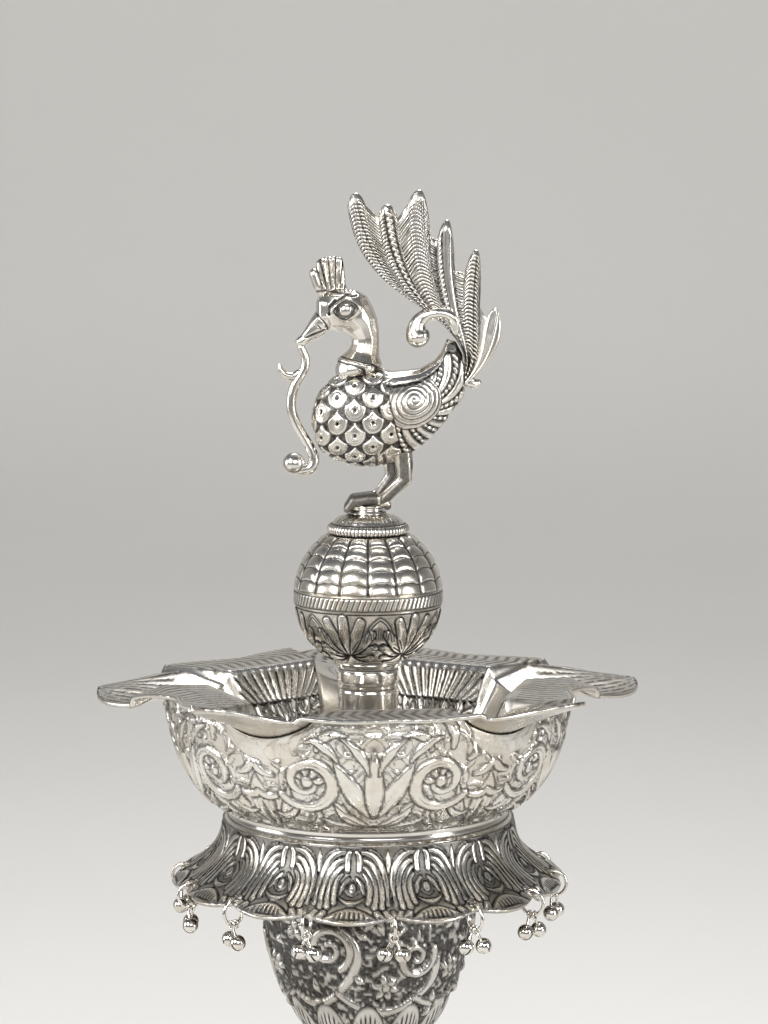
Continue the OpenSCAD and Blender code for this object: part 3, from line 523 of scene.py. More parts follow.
def palmetteVeins():
    lines = [np.array([(x, 18.0 + 0.05 * x * x), (x * 1.1, 20.4)]) for x in np.arange(-3.6, 3.7, 1.2)]
    lines += [throughPoints(palmetteArch, 40), bend((-6.6, 19.2), (0, 13.4), (6.6, 19.2), 14)]
    return lines + [bend(*stroke) for stroke in mirrored(palmetteCurls)]


def skirtProfile(rows):
    s = skirtSizes
    slope = math.radians(s["slope"])
    top = np.array([s["topR"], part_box("skirt")[1].z / mm])
    edge = np.array([s["r"], top[1] - s["drop"]])
    lip = np.array([math.cos(slope), -math.sin(slope)])
    pull = edge - 0.7 * (s["r"] - s["topR"]) * lip
    return evenPoints(bezier(top, top - [0.2, 0.5 * s["drop"]], pull, edge, 200), rows)


def scallopShare(turn):
    s = skirtSizes
    half = math.pi / s["count"]
    valleyR = s["r"] - s["scallop"]
    chord, rise = valleyR * math.sin(half), s["r"] - valleyR * math.cos(half)
    arcR = (chord * chord + rise * rise) / (2 * rise)
    c = s["r"] - arcR
    angle = sectorAngle(turn, s["count"], s["firstBell"] + 180 / s["count"])
    r = c * np.cos(angle) + np.sqrt(np.maximum(arcR ** 2 - (c * np.sin(angle)) ** 2, 0))
    profile = skirtProfile(400)
    run = runLength(profile)
    return np.interp(r, profile[:, 0], run) / run[-1]


def skirtRelief(turn, run, radius):
    s = skirtSizes
    angle = sectorAngle(turn, s["count"], s["firstBell"] + 180 / s["count"])
    half = math.pi / s["count"]
    px = angle / half * s["motifHalf"]
    total = runLength(skirtProfile(400))[-1]
    py = 0.2 + run * s["motifH"] / total
    height, oxide = np.zeros(turn.shape), np.zeros(turn.shape)
    oxide += 0.75 * (1 - smoothStep(15, 19, py))
    small = [(bend((x, 6.5), (x, 3.5), (x, 1.2), 5), [0.4, 1.1, 0.3])
             for x in (s["motifHalf"], -s["motifHalf"])]
    layLeaves(px, py, small, height, oxide, 0.4, 0.24)
    layLeaves(px, py, palmetteLeaves(), height, oxide, 0.45, 0.36)
    veins = ink(strokeDistance(px, py, palmetteVeins()), 0.26)
    oxide = np.maximum(oxide, veins)
    height -= 0.18 * veins
    valley = np.abs(sectorAngle(turn, s["count"], s["firstBell"])) * radius
    quiet = smoothStep(2.4, 4.2, np.hypot(valley, (total - 2.6 - s["scallop"] * 1.1 - run) * 0.8))
    edge = smoothStep(0, 1.6, total * scallopShare(turn) - run)
    return height * quiet * (0.25 + 0.75 * edge), oxide * (0.4 + 0.6 * edge)


def cutRingHoles(mesh):
    s = skirtSizes
    slope = math.radians(s["slope"])
    lip, up = Vector((math.cos(slope), 0, -math.sin(slope))), Vector((math.sin(slope), 0, math.cos(slope)))
    valley = Vector((s["r"] - s["scallop"], 0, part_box("skirt")[1].z / mm - s["drop"]
                     + s["scallop"] * math.tan(slope)))
    centre = valley - (s["strip"] + s["holeR"]) * lip - s["sheet"] / 2 * up
    bm = bmesh.new()
    bm.from_mesh(mesh)
    for i in range(s["count"]):
        c, sn = compass(s["firstBell"] + i * 360 / s["count"])

        def turned(v):
            return Vector((v.x * c - v.y * sn, v.x * sn + v.y * c, v.z))
        hub, axis = turned(centre), turned(up)

        def offAxis(p):
            d = p - hub
            return d - axis * d.dot(axis), abs(d.dot(axis))
        inHole = []
        for f in bm.faces:
            m = f.calc_center_median()
            if (m - hub).length < 3:
                flat, deep = offAxis(m)
                if flat.length < s["holeR"] and deep < 1.2:
                    inHole.append(f)
        bmesh.ops.delete(bm, geom=inHole, context="FACES")
        rim = [e for e in bm.edges if e.is_boundary and (e.verts[0].co - hub).length < 4]
        for v in {v for e in rim for v in e.verts}:
            flat = offAxis(v.co)[0]
            v.co += flat * (s["holeR"] / flat.length - 1)
        bmesh.ops.bridge_loops(bm, edges=rim)
    bmesh.ops.recalc_face_normals(bm, faces=bm.faces)
    bm.to_mesh(mesh)
    bm.free()


skirtFace = skirtProfile(skirtSizes["rows"])
skirtBack = evenPoints(thinned(skirtProfile(200), skirtSizes["sheet"]), 26)
skirtMesh = turnedShell("skirtPlate", skirtFace, skirtBack, skirtSizes["steps"], skirtRelief, scallopShare)
cutRingHoles(skirtMesh)
placePiece(skirtMesh, ["skirt"], brightSilver)


# vase: raised scrolls and flowers on a punched black ground, a row of petals round its foot
vaseSizes = {"r": 30.6, "topR": 14, "footR": 11.5, "h": 68, "sheet": 1.2, "repeats": 3, "motifHalf": 32,
             "lead": 8, "petals": 12, "petalH": 24, "steps": 540, "rows": 130}


def vaseProfile(rows):
    s = vaseSizes
    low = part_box("stem_vase")[0].z / mm
    high = low + s["h"]
    widest = (s["r"], low + 0.65 * s["h"])
    upper = bezier((s["topR"], high), (0.8 * s["r"], high - 0.5), (s["r"], widest[1] + 0.19 * s["h"]),
                   widest, 100)
    lower = bezier(widest, (s["r"], low + 0.46 * s["h"]), (0.8 * s["r"], low + 0.14 * s["h"]),
                   (s["footR"], low), 140)
    return evenPoints(np.vstack([upper, lower[1:]]), rows)


# place and size of the flowers; place, direction and length of the buds
vaseFlowers = ((-1.5, 20, 5.2), (24, 22, 4.6), (-27, 24, 4.6), (1.5, 42, 4.2), (25, 38, 3.8))
vaseBuds = ((-8, 24, 30, 5), (7, 24, 150, 5), (-22, 40, 70, 5), (18, 54, -60, 5), (-5, 53, -110, 5),
            (-27, 34, -30, 4.5), (31, 31, 200, 4.5), (17, 17, 20, 5), (-12, 15, 160, 5), (7, 13, 80, 4),
            (-20, 17, 100, 4), (30, 14, 60, 4), (-31, 14, 100, 4), (20, 45, 80, 4), (-8, 38, 40, 3.6))


def vaseLeaves():
    leaves = [
        (bend((-31, 46), (-22, 52), (-14, 44), 14), [0.9, 1.6, 1.3]),
        (bend((-14, 44), (-2, 32), (-12, 24), 16), [1.3, 1.7, 1.2]),
        (spiral((-16, 30), 7.2, 1.2, 60, -480, 44), [1.2, 1.3, 1.0, 0.8]),
        (bend((-14, 44), (0, 56), (12, 46), 16), [1.2, 1.7, 1.3]),
        (bend((12, 46), (22, 40), (16, 30), 14), [1.3, 1.6, 1.2]),
        (spiral((10.5, 33), 6.4, 1.0, -20, 470, 44), [1.2, 1.3, 1.0, 0.8]),
        (bend((12, 46), (22, 52), (31, 46), 14), [1.2, 1.6, 0.9]),
    ]
    for x, y, r in vaseFlowers:
        for k in range(6):
            c, s = compass(60 * k + 12)
            leaves.append((bend((x + 1.1 * c, y + 1.1 * s), (x + 0.6 * r * c, y + 0.6 * r * s),
                                (x + r * c, y + r * s), 5), [0.5, 1.35, 0.6]))
        leaves.append((np.array([(x, y - 0.2), (x, y + 0.2)]), [1.3, 1.3]))
    for x, y, a, size in vaseBuds:
        c, s = compass(a)
        leaves.append((bend((x, y), (x + 0.5 * size * c - 0.9 * s, y + 0.5 * size * s + 0.9 * c),
                            (x + size * c, y + size * s), 6), [0.4, 1.4, 0.3]))
    return leaves


def vaseRelief(turn, run, radius):
    s = vaseSizes
    angle = sectorAngle(turn, s["repeats"], frontTurn + s["lead"])
    px = angle / (math.pi / s["repeats"]) * s["motifHalf"]
    height, oxide = np.zeros(turn.shape), np.full(turn.shape, 0.92)
    mound = grain(turn * 24, run, 0.95, 3)
    oxide -= 0.75 * smoothStep(0.62, 0.82, mound)
    height += 0.35 * smoothStep(0.55, 0.85, mound)
    layLeaves(px, run - 10, vaseLeaves(), height, oxide, 1.25, 0.2, 0.95)
    across = sectorAngle(turn, s["petals"], frontTurn) / (math.pi / s["petals"])
    total = runLength(vaseProfile(300))[-1]
    down = (run - (total - s["petalH"])) / s["petalH"]
    outline = down - 0.5 * np.abs(across) ** 2.2
    petal = smoothStep(0.0, 0.06, outline)
    bulge = roundTop(across) * smoothStep(0, 0.35, outline)
    height = np.where(outline > 0, 0.9 * bulge, height)
    veins = smoothStep(0.12, 0.2, outline) * (1 - smoothStep(0.42, 0.6, outline))
    veins = veins * (zigzag(across * 4.5) < 0.34)
    oxide = np.where(outline > 0, np.maximum(veins * 0.95, 1 - smoothStep(0.02, 0.09, outline)), oxide)
    oxide = np.maximum(oxide, (1 - smoothStep(0.0, 0.08, 1 - np.abs(across))) * petal)
    inner = np.abs(np.hypot(across * 0.9, (outline - 0.62) * 1.5) - 0.34)
    oxide = np.maximum(oxide, ink(inner, 0.045, 0.03) * (outline > 0.1))
    ends = fadeEnds(run, total, 2.5)
    return height * ends, oxide


vaseFace = vaseProfile(vaseSizes["rows"])
vaseMesh = turnedShell("vaseBulb", vaseFace, evenPoints(thinned(vaseProfile(200), vaseSizes["sheet"]), 30),
                       vaseSizes["steps"], vaseRelief)
placePiece(vaseMesh, ["stem_vase"], darkSilver)


# collar: plain and bright, with a thin dark line at its top and bottom
collarSizes = {"r": 41.4, "waist": 0.9, "wall": 2.2, "steps": 260, "rows": 30}


def buildCollar():
    s = collarSizes
    low, high = (v.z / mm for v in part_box("bowl_collar"))
    h = high - low
    face = evenPoints(bezier((s["r"], high), (s["r"] - s["waist"], high - 0.3 * h),
                             (s["r"] - s["waist"], low + 0.3 * h), (s["r"] + 0.6, low), 100), s["rows"])
    back = np.array([[s["r"] - s["wall"], high], [s["r"] - s["wall"], low]])

    def relief(turn, run, radius):
        wave = 0.12 * (grain(turn * 41, run * 0.4, 5, 4) - 0.5)
        rim = np.maximum(lineOn(run - 0.7, 0.3), lineOn(run - h + 0.9, 0.3))
        return wave * fadeEnds(run, h, 2) - 0.15 * rim, 0.8 * rim
    placePiece(turnedShell("bowlCollar", face, back, s["steps"], relief), ["bowl_collar"], plainSilver)


buildCollar()
print("skirt, vase and collar done")


# globe: bulged tiles above, a rope band, lotus and palmettes in black line below
globeSizes = {"r": 21.3, "seatR": 9.35, "capR": 11.4, "band": 4.5, "sheet": 1.2,
              "columns": 16, "tileRows": 5, "tileLead": 11.5, "palmettes": 6, "lotusLead": -20,
              "motifHalf": 11.1, "motifH": 20, "ropes": 84, "steps": 528, "backRows": 14}
globeZ = (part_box("globe_band")[0].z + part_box("globe_band")[1].z) / 2 / mm


def globeArc(low, high, radius, rows):
    a = np.linspace(math.asin(high / globeSizes["r"]), math.asin(low / globeSizes["r"]), rows + 1)
    return np.stack([radius * np.cos(a), globeZ + radius * np.sin(a)], 1)


globeR, globeHalf = globeSizes["r"], globeSizes["band"] / 2
globeHead = math.sqrt(globeR ** 2 - globeSizes["capR"] ** 2)
globeFoot = -math.sqrt(globeR ** 2 - globeSizes["seatR"] ** 2)
tileFace = globeArc(globeHalf, globeHead, globeR, 88)
lotusFace = globeArc(globeFoot, -globeHalf, globeR, 96)


def tileRelief(turn, run, radius):
    s = globeSizes
    u = sectorAngle(turn, s["columns"], frontTurn + s["tileLead"]) / (math.pi / s["columns"])
    total = runLength(tileFace)[-1]
    w = run / total * s["tileRows"] - 0.26 * u * u + 0.02
    v = w - np.floor(w)
    pillow = np.clip(1 - u ** 4, 0, 1) ** 0.6 * np.clip(v, 0, 1) ** 0.5 * np.clip(1 - v, 0, 1) ** 0.28
    height = 1.1 * pillow
    seam = smoothStep(0.82, 0.92, np.abs(u))
    # painted shadow: a dark arc along each tile's top edge, put into the oxide where the tile above throws
    # shade
    tileTopShadow = 1 - smoothStep(0.06, 0.16, v)
    ends = fadeEnds(run, total, 0.7)
    return height * ends, np.maximum(seam * 0.95, tileTopShadow) * (0.5 + 0.5 * ends)


# direction, length and half width of the leaves on one side
lotusFan = ((118, 7.0, 1.3), (96, 8.6, 1.45), (72, 9.8, 1.65), (48, 11.0, 1.8), (24, 11.9, 1.9))


def lotusLeaves():
    leaves = []
    for side in (-1, 1):
        for a, size, w in lotusFan:
            c, s = fanOut(a, side)
            root = (side * 0.4, 13.6)
            leaves.append((bend(root, (root[0] + 0.55 * size * c, root[1] + 0.55 * size * s + 0.9),
                                (root[0] + size * c, root[1] + size * s), 7), [0.4, w, w * 0.8]))
    leaves.append((bend((0, 13.0), (0, 7), (0, 1.9), 6), [0.5, 1.9, 1.6]))
    return leaves


def lotusLines():
    lines = []
    for side in (-1, 1):
        x = side * globeSizes["motifHalf"]
        for d in (0.0, 0.9):
            lines += [bend((x - 5.0 + d, 8.2), (x - 3.6 + d * 0.7, 2.8 + d), (x, 1.2 + d), 8),
                      bend((x + 5.0 - d, 8.2), (x + 3.6 - d * 0.7, 2.8 + d), (x, 1.2 + d), 8)]
        lines += [np.array([(x + k, 4.4 + abs(k) * 0.5), (x + k * 0.9, 7.8)])
                  for k in np.arange(-2.8, 2.9, 0.8)]
        lines += [bend((x - 2.6, 9.6), (x, 10.4), (x + 2.6, 9.6), 5),
                  bend((x - 2.2, 10.9), (x, 11.6), (x + 2.2, 10.9), 5)]
        lines.append(bend((side * 0.8, 13.4), (side * 5, 17.4), (x, 17.2), 8))
        for a, size in ((107, 5.2), (84, 6.4), (60, 7.2), (36, 7.8), (12, 7.0)):
            c, s = fanOut(a, side)
            lines.append(np.array([(0.3 * size * c + side * 0.4, 13.2 + 0.3 * size * s),
                                   (0.85 * size * c + side * 0.4, 13.3 + 0.85 * size * s)]))
    return lines


def lotusRelief(turn, run, radius):
    s = globeSizes
    angle = sectorAngle(turn, s["palmettes"], frontTurn + s["lotusLead"])
    px = angle / (math.pi / s["palmettes"]) * s["motifHalf"]
    total = runLength(lotusFace)[-1]
    py = run * s["motifH"] / total
    height, oxide = np.zeros(turn.shape), np.zeros(turn.shape)
    layLeaves(px, py, lotusLeaves(), height, oxide, 0.55, 0.32)
    lines = ink(strokeDistance(px, py, lotusLines()), 0.22, 0.12)
    oxide = np.maximum(oxide, lines)
    oxide = np.maximum(oxide, np.maximum(lineOn(py - 0.5, 0.25), lineOn(py - 18.2, 0.2)))
    ends = fadeEnds(run, total, 0.8)
    return (height - 0.15 * lines) * ends, oxide


def ropeRelief(turn, run, radius):
    s = globeSizes
    across = run / s["band"]
    phase = turn * s["ropes"] / math.tau + across * 1.1
    strand = zigzag(phase)
    inBand = smoothStep(0.10, 0.2, across) * smoothStep(0.10, 0.2, 1 - across)
    cut = smoothStep(0.55, 0.8, strand)
    rim = np.maximum(lineOn(across - 0.1, 0.05, 0.04), lineOn(across - 0.9, 0.05, 0.04))
    return 0.22 * (1 - strand ** 2) * inBand - 0.1, np.maximum(cut * inBand * 0.95, rim)


def buildGlobe():
    s = globeSizes
    insideR = globeR - s["sheet"]
    tileBack = globeArc(globeHalf, globeHead, insideR, s["backRows"])
    lotusBack = globeArc(globeFoot, -globeHalf, insideR, s["backRows"])
    tiles = turnedShell("globeTiles", tileFace, tileBack, s["steps"], tileRelief)
    placePiece(tiles, ["globe_upper"], brightSilver)
    lotus = turnedShell("globeLotus", lotusFace, lotusBack, s["steps"], lotusRelief)
    placePiece(lotus, ["globe_lower"], brightSilver)
    ends = globeZ + globeHalf, globeZ - globeHalf
    face = evenPoints(np.array([[globeR + 0.3, z] for z in ends]), 22)
    back = np.array([[globeR - 2.2, z] for z in ends])
    rope = turnedShell("globeRope", face, back, s["ropes"] * 10, ropeRelief)
    placePiece(rope, ["globe_band"], brightSilver)


buildGlobe()


# neck: a plain bright tube with a bead step under the globe
neckSizes = {"r": 8.75, "flange": 2.2, "steps": 160}


def buildNeck():
    s = neckSizes
    low, high = (v.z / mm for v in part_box("neck_tube"))
    r = s["r"]
    line = np.array([[r + 0.6, high], [r + 0.35, high - 1.2], [r + 0.35, high - 1.5], [r - 0.1, high - 1.8],
                     [r - 0.1, high - 2.2], [r + 0.3, high - 2.5], [r + 0.35, high - 5.6], [r, high - 6.2],
                     [r, high - 7.6], [r - 0.2, high - 7.8], [r - 0.2, high - 8.1], [r, high - 8.3],
                     [r, low + 3.4], [r + 0.4, low + 2.6],
                     [r + s["flange"], low + 1.4], [r + s["flange"], low]])
    face = evenPoints(line, 90)
    back = np.array([[r - 1.4, high], [r - 1.4, low]])

    def relief(turn, run, radius):
        rings = np.maximum(lineOn(run - 2.2, 0.3), 0.6 * lineOn(run - 8.2, 0.25))
        wave = 0.05 * (grain(turn * 9, run * 0.3, 2.5, 8) - 0.5)
        return wave * smoothStep(0, 1, run), rings
    placePiece(turnedShell("neckTube", face, back, s["steps"], relief), ["neck_tube"], plainSilver)


buildNeck()


# cap and post: a finely fluted ring, a domed top, a bright turned post
capSizes = {"ringR": 11.9, "ringH": 3.2, "domeR": 10.6, "flutes": 64, "petals": 24, "steps": 512,
            "boreR": 4.6, "postR": 5.4, "postSteps": 96}


def buildCap():
    s = capSizes
    low, high = (v.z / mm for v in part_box("finial_cap"))
    postR, half = s["postR"], s["ringH"] / 2
    ring = np.array([[s["ringR"] - half + half * math.cos(a), low + half + half * math.sin(a)]
                     for a in np.linspace(1.35, -1.5, 24)])
    dome = bezier((postR + 0.3, high), (postR + 1.5, high - 0.3), (s["domeR"] - 1.2, high - 1.0),
                  (s["domeR"] - 0.2, high - 2.7), 24)
    face = evenPoints(np.vstack([dome, ring]), 64)
    edge = runLength(np.vstack([dome, ring[:1]]))[-1]
    back = np.array([[s["boreR"], high - 0.2], [s["boreR"], low]])

    def relief(turn, run, radius):
        strand = zigzag(turn * s["flutes"] / math.tau + run * 0.05)
        band = smoothStep(edge, edge + 0.6, run) * (1 - smoothStep(edge + 3.6, edge + 4.2, run))
        petals = zigzag(turn * s["petals"] / math.tau)
        inDome = smoothStep(0.8, 1.6, run) * (1 - smoothStep(edge - 1.2, edge - 0.5, run))
        dark = np.maximum(smoothStep(0.6, 0.85, strand) * band * 0.95,
                          smoothStep(0.86, 0.97, petals) * inDome * 0.5)
        dark = np.maximum(dark, lineOn(run - edge, 0.3))
        return 0.26 * (1 - strand ** 2) * band - 0.2 * band + 0.12 * (1 - petals ** 2) * inDome, dark
    placePiece(turnedShell("finialCap", face, back, s["steps"], relief), ["finial_cap"], brightSilver)
    low, high = (v.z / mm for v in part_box("finial_post"))
    h = high - low
    post = evenPoints(np.array([[0.45, high], [postR - 0.5, high],
                                [postR - 0.12, high - 0.12], [postR, high - 0.3],
                                [postR - 0.42, low + 0.62 * h], [postR - 0.5, low + 0.45 * h],
                                [postR - 0.1, low + 0.12 * h], [postR, low]]), 40)

    def bright(turn, run, radius):
        return np.zeros(turn.shape), 0.7 * lineOn(run - 7.0, 0.25)
    back = np.array([[0.4, high - 0.4], [0.4, low]])
    placePiece(turnedShell("finialPost", post, back, s["postSteps"], bright), ["finial_post"], plainSilver)


buildCap()
print("globe, neck, cap and post done")


# oil pan: an engraved brim, a five-sided well with pleated and flowered walls, five tongued spouts
panSizes = {"brimR": 59.6, "tipR": 85, "half": 14.5, "count": 5, "turn": 96, "wellR": 43.5, "depth": 26,
            "sheet": 1.2, "rootR": 52, "rootDrop": 8.6, "tipDrop": 2.8, "edgeDrop": 1.0, "flank": 1.4,
            "flare": 10, "flareAngle": 22, "seatR": 59, "lift": (0, -1.4, 7.8, 7.8, -1.7),
            "stretch": (0, -3, -3, -1, 3), "roll": (0, 4, 0, 0, -4), "tongue": 1.2,
            "holeR": 3.2, "leafPitch": 3.4, "featherRows": 4.5, "featherR": 60, "scoopR": 57, "wallR": 45,
            "pleatPitch": 3.3, "pleatH": 9.4, "columns": 640, "rows": 110, "underRows": 24}
panMouth = math.degrees(math.asin(panSizes["half"] / panSizes["brimR"])) - 0.4


# angle from the nearest spout, and how that spout is bent
def panShape(turn):
    s = panSizes
    a = sectorAngle(turn, s["count"], s["turn"])
    step = 2 * math.pi / s["count"]
    number = np.round((turn - a - math.radians(s["turn"])) / step).astype(int) % s["count"]
    bent = {"lift": np.array(s["lift"])[number], "stretch": np.array(s["stretch"])[number],
            "roll": np.maximum(0, np.array(s["roll"])[number] * np.sign(a))}
    return np.degrees(np.abs(a)), a, bent


def earShare(off):
    return np.clip(1 - (off - panMouth) / panSizes["flareAngle"], 0, 1)


def panDrop(r, off, bent):
    s = panSizes
    tip = s["tipDrop"] - bent["lift"]
    share = np.clip((r - s["rootR"]) / (s["tipR"] + bent["stretch"] - s["rootR"]), 0, 1)
    floor = tip + (s["rootDrop"] - tip) * (1 - share) ** np.where(bent["lift"] > 0, 1.2, 3)
    edge = s["edgeDrop"] + (tip - s["edgeDrop"]) * share ** 2
    across = np.clip(r * np.sin(np.radians(off)) / s["half"], 0, 1)
    rolled = bent["roll"] * across * np.clip((r - s["seatR"]) / 8, 0, 1)
    tongue = floor + (edge - floor) * across ** 2 + rolled
    out = np.clip((r - s["seatR"]) / (s["brimR"] + s["flare"] - s["seatR"]), 0, 1)
    ear = (bent["roll"] - 0.3 * np.maximum(0, bent["lift"])) * earShare(off) * out
    inMouth = 1 - smoothStep(panMouth, panMouth + s["flank"], off)
    return inMouth * tongue + (1 - inMouth) * ear


def panReach(off, bent):
    s = panSizes
    a = np.radians(off)
    length = s["tipR"] + bent["stretch"] - s["rootR"]
    p = (np.cos(a) / length) ** 2 + (np.sin(a) / (s["tongue"] * s["half"])) ** 2
    q = s["rootR"] * np.cos(a) / length ** 2
    disc = q * q - p * ((s["rootR"] / length) ** 2 - 1)
    tongue = np.where(disc > 0, (q + np.sqrt(np.maximum(disc, 0))) / p, 0)
    wing = s["brimR"] + s["flare"] - 1.2
    return np.where(off <= panMouth, np.maximum(wing, tongue), s["brimR"] + s["flare"] * earShare(off) ** 1.2)


def panRows(turn):
    s = panSizes
    off, signed, bent = panShape(turn)
    half = 180 / s["count"]
    edge = panReach(off, bent)
    straight = s["wellR"] / np.cos(np.radians(half - off))
    t = smoothStep(panMouth - 1.5, panMouth + 1.5, off)
    well = (1 - t) * (s["rootR"] - 4 * np.clip(off / panMouth, 0, 1)) + t * straight
    lip = panDrop(well, off, bent)
    floor = 0.74 * straight
    d = s["depth"]
    zero = np.zeros(turn.shape)
    r = [zero + s["holeR"], floor - 3, floor, 0.45 * floor + 0.55 * well, well - 0.8]
    z = [zero - d, zero - d, zero - d + 1.2, -0.5 * d - 0.5 * lip, -lip - 1.6]
    for f in (0, 0.5):
        r.append(well + (s["seatR"] - well) * f)
    for f in (0, 0.25, 0.5, 0.78, 1):
        r.append(s["seatR"] + (edge - s["seatR"]) * f)
    for here in r[5:]:
        z.append(-panDrop(here, off, bent))
    return np.array(r), np.array(z), off, signed, well, edge, bent


panUnder = np.array([[0, -1], [0.2, -1], [0.7, -0.8], [0.9, -0.35], [0.9, -0.5], [0.6, -1]] + [[0, -1]] * 6)
panUnder = panUnder * panSizes["sheet"]
panKnots = np.array([0, 0.14, 0.17, 0.37, 0.55, 0.585, 0.64, 0.69, 0.77, 0.85, 0.935, 1.0])
panFloor, panLip = panKnots[2], panKnots[5]  # where the floor ends and where the brim starts


def alongRows(values, t):
    k = np.clip(np.searchsorted(panKnots, t, side="right") - 1, 0, len(panKnots) - 2)
    f = (t - panKnots[k]) / (panKnots[k + 1] - panKnots[k])
    column = np.arange(values.shape[1])
    return values[k, column] * (1 - f) + values[k + 1, column] * f


def wallFlowers():
    leaves = []
    for side in (-1, 1):
        leaves += [(spiral((side * 8.5, 13.0), 4.6, 0.8, 90, 90 + side * 470, 30), [0.9, 1.2, 0.8]),
                   (bend((side * 1, 19), (side * 8, 22), (side * 14, 16), 8), [0.6, 1.4, 0.5]),
                   (bend((side * 13, 14), (side * 17, 11.5), (side * 19, 14.5), 7), [0.6, 1.3, 0.5])]
        for a in (20, 55):
            c, s = fanOut(a, side)
            leaves.append((bend((0, 18), (4 * c, 18 + 4 * s + 1), (7 * c, 18 + 7 * s), 6), [0.5, 1.4, 0.4]))
    leaves.append((bend((0, 18), (0, 14), (0, 10.6), 6), [0.5, 1.4, 0.4]))
    return leaves


def buildPan():
    s = panSizes
    rows, under = s["rows"], s["underRows"]
    # a flat stand-in ring is spun first: its radius tells the row and its height the face
    standR, standStep = 10, 0.5
    loop = [(standR + i * standStep, 0) for i in range(rows + 1)]
    loop += [(standR + (under - i) * standStep * rows / under, -1) for i in range(under + 1)]
    mesh = spunMesh("oilPan", loop, s["columns"])
    co = pointsOf(mesh)
    spunR, turn = polar(co)
    t = np.clip((spunR - standR) / (standStep * rows), 0, 1)
    top = co[:, 2] > -0.5
    rowR, rowZ, off, signed, well, edge, bent = panRows(turn)
    r, z = alongRows(rowR, t), alongRows(rowZ, t)
    ur = alongRows(rowR + panUnder[:, :1], t)
    uz = alongRows(rowZ + panUnder[:, 1:], t)
    height, oxide = np.zeros(r.shape), np.zeros(r.shape)
    half = 180 / s["count"]
    fromMid = (half - off) * np.sign(signed)  # angle from the middle of a side
    # brim: slanted leaf strokes in two rows, inside a border line
    b = (r - well) / (edge - well)
    mouthEdge = panMouth + 0.3
    onBrim = (t >= panLip) & (off > mouthEdge)
    along = np.radians(fromMid) * r
    slant = np.where(b > 0.5, b - 0.5, 0.5 - b)
    leafRow = zigzag((along + 7.0 * slant) / s["leafPitch"])
    strokes = smoothStep(0.42, 0.68, leafRow) * smoothStep(0.08, 0.14, b) * smoothStep(0.06, 0.12, 1 - b)
    middle = lineOn(b - 0.5, 0.035, 0.03)
    border = np.maximum(lineOn(b - 0.07, 0.022, 0.02), lineOn(b - 0.95, 0.022, 0.02))
    brimDark = np.maximum(np.maximum(strokes, 0.7 * middle), 0.8 * border)
    oxide = np.where(onBrim, np.maximum(0.9 * brimDark, 0.34 * smoothStep(0.02, 0.06, 1 - b)), oxide)
    height = np.where(onBrim, 0.16 * (1 - leafRow ** 2) * smoothStep(0.08, 0.2, b) - 0.1 * brimDark, height)
    # tongue: long feather strokes that close towards the tip, and a plain root
    onTongue = (t >= panLip) & (off <= mouthEdge)
    side = r * np.sin(signed)
    tipShare = np.clip((r - s["rootR"]) / (s["tipR"] + bent["stretch"] - s["rootR"]), 0, 1)
    room = np.sqrt(np.clip(1.02 - tipShare ** 2, 0.02, 1))
    q = side / (s["tongue"] * s["half"] * room)
    featherRow = q * s["featherRows"] + 0.5
    lines = zigzag(featherRow)
    broken = smoothStep(0.08, 0.2, zigzag(r / 6.5 + np.floor(featherRow) * 0.37))
    feather = (1 - smoothStep(0.34, 0.56, lines)) * broken * smoothStep(s["featherR"], s["featherR"] + 3, r)
    feather = feather * (1 - smoothStep(0.93, 0.99, np.abs(q)))
    rimLine = lineOn(np.abs(q) - 0.9, 0.04, 0.03) * smoothStep(s["featherR"], s["featherR"] + 3, r)
    scoopOut = np.hypot(side, (r - s["scoopR"]) * 1.6)
    scoop = lineOn(scoopOut - 6.5, 0.3) * (r < s["scoopR"] + 4)
    hatch = smoothStep(0.5, 0.8, zigzag(side / 1.7)) * (scoopOut < 6)
    tongueDark = np.maximum.reduce([feather, rimLine, scoop * 0.9, hatch * 0.7])
    dull = 0.34 * smoothStep(s["scoopR"], s["scoopR"] + 5, r) * (1 - smoothStep(0.95, 0.99, np.abs(q)))
    oxide = np.where(onTongue, np.maximum(0.95 * tongueDark, dull), oxide)
    tongueH = 0.22 * lines * smoothStep(s["featherR"], s["featherR"] + 4, r) * (1 - np.abs(q) ** 4)
    height = np.where(onTongue, tongueH - 0.12 * tongueDark, height)
    # wall: gadroon pleats above a scalloped edge, flowers on a punched ground below
    onWall = (t > panFloor) & (t < panLip) & (off > panMouth - 1.0)
    deep = -z
    px = np.radians(fromMid) * s["wallR"]
    lean = px * (1 + 0.005 * np.minimum(deep, 10) ** 2)  # the pleats fan out and bend
    pleat = zigzag(lean / s["pleatPitch"])
    scallop = deep - (s["pleatH"] + 1.5 * roundTop(pleat))
    wallH, wallD = np.zeros(r.shape), np.full(r.shape, 0.3)
    ground = grain(px, deep, 0.8, 6)
    wallD += 0.55 * smoothStep(0.5, 0.7, ground)
    layLeaves(px, deep, wallFlowers(), wallH, wallD, 0.9, 0.3)
    upper = scallop < 0
    pleatDark = np.maximum(smoothStep(0.6, 0.82, pleat) * smoothStep(1.0, 2.4, deep), lineOn(scallop, 0.5))
    wallD = np.where(upper, pleatDark, np.maximum(wallD, lineOn(scallop, 0.5)))
    wallH = np.where(upper, 1.1 * roundTop(pleat) * smoothStep(0.2, 2.2, deep), wallH)
    panel = smoothStep(panMouth + 1.2, panMouth + 2.2, off)
    wallD = np.where(panel > 0.5, wallD, ink(np.abs(off - panMouth - 1.7) * 0.8, 0.3))
    oxide = np.where(onWall, wallD, oxide)
    height = np.where(onWall, wallH * panel, height)
    oxide = np.where(t <= panFloor, 0.35, oxide)
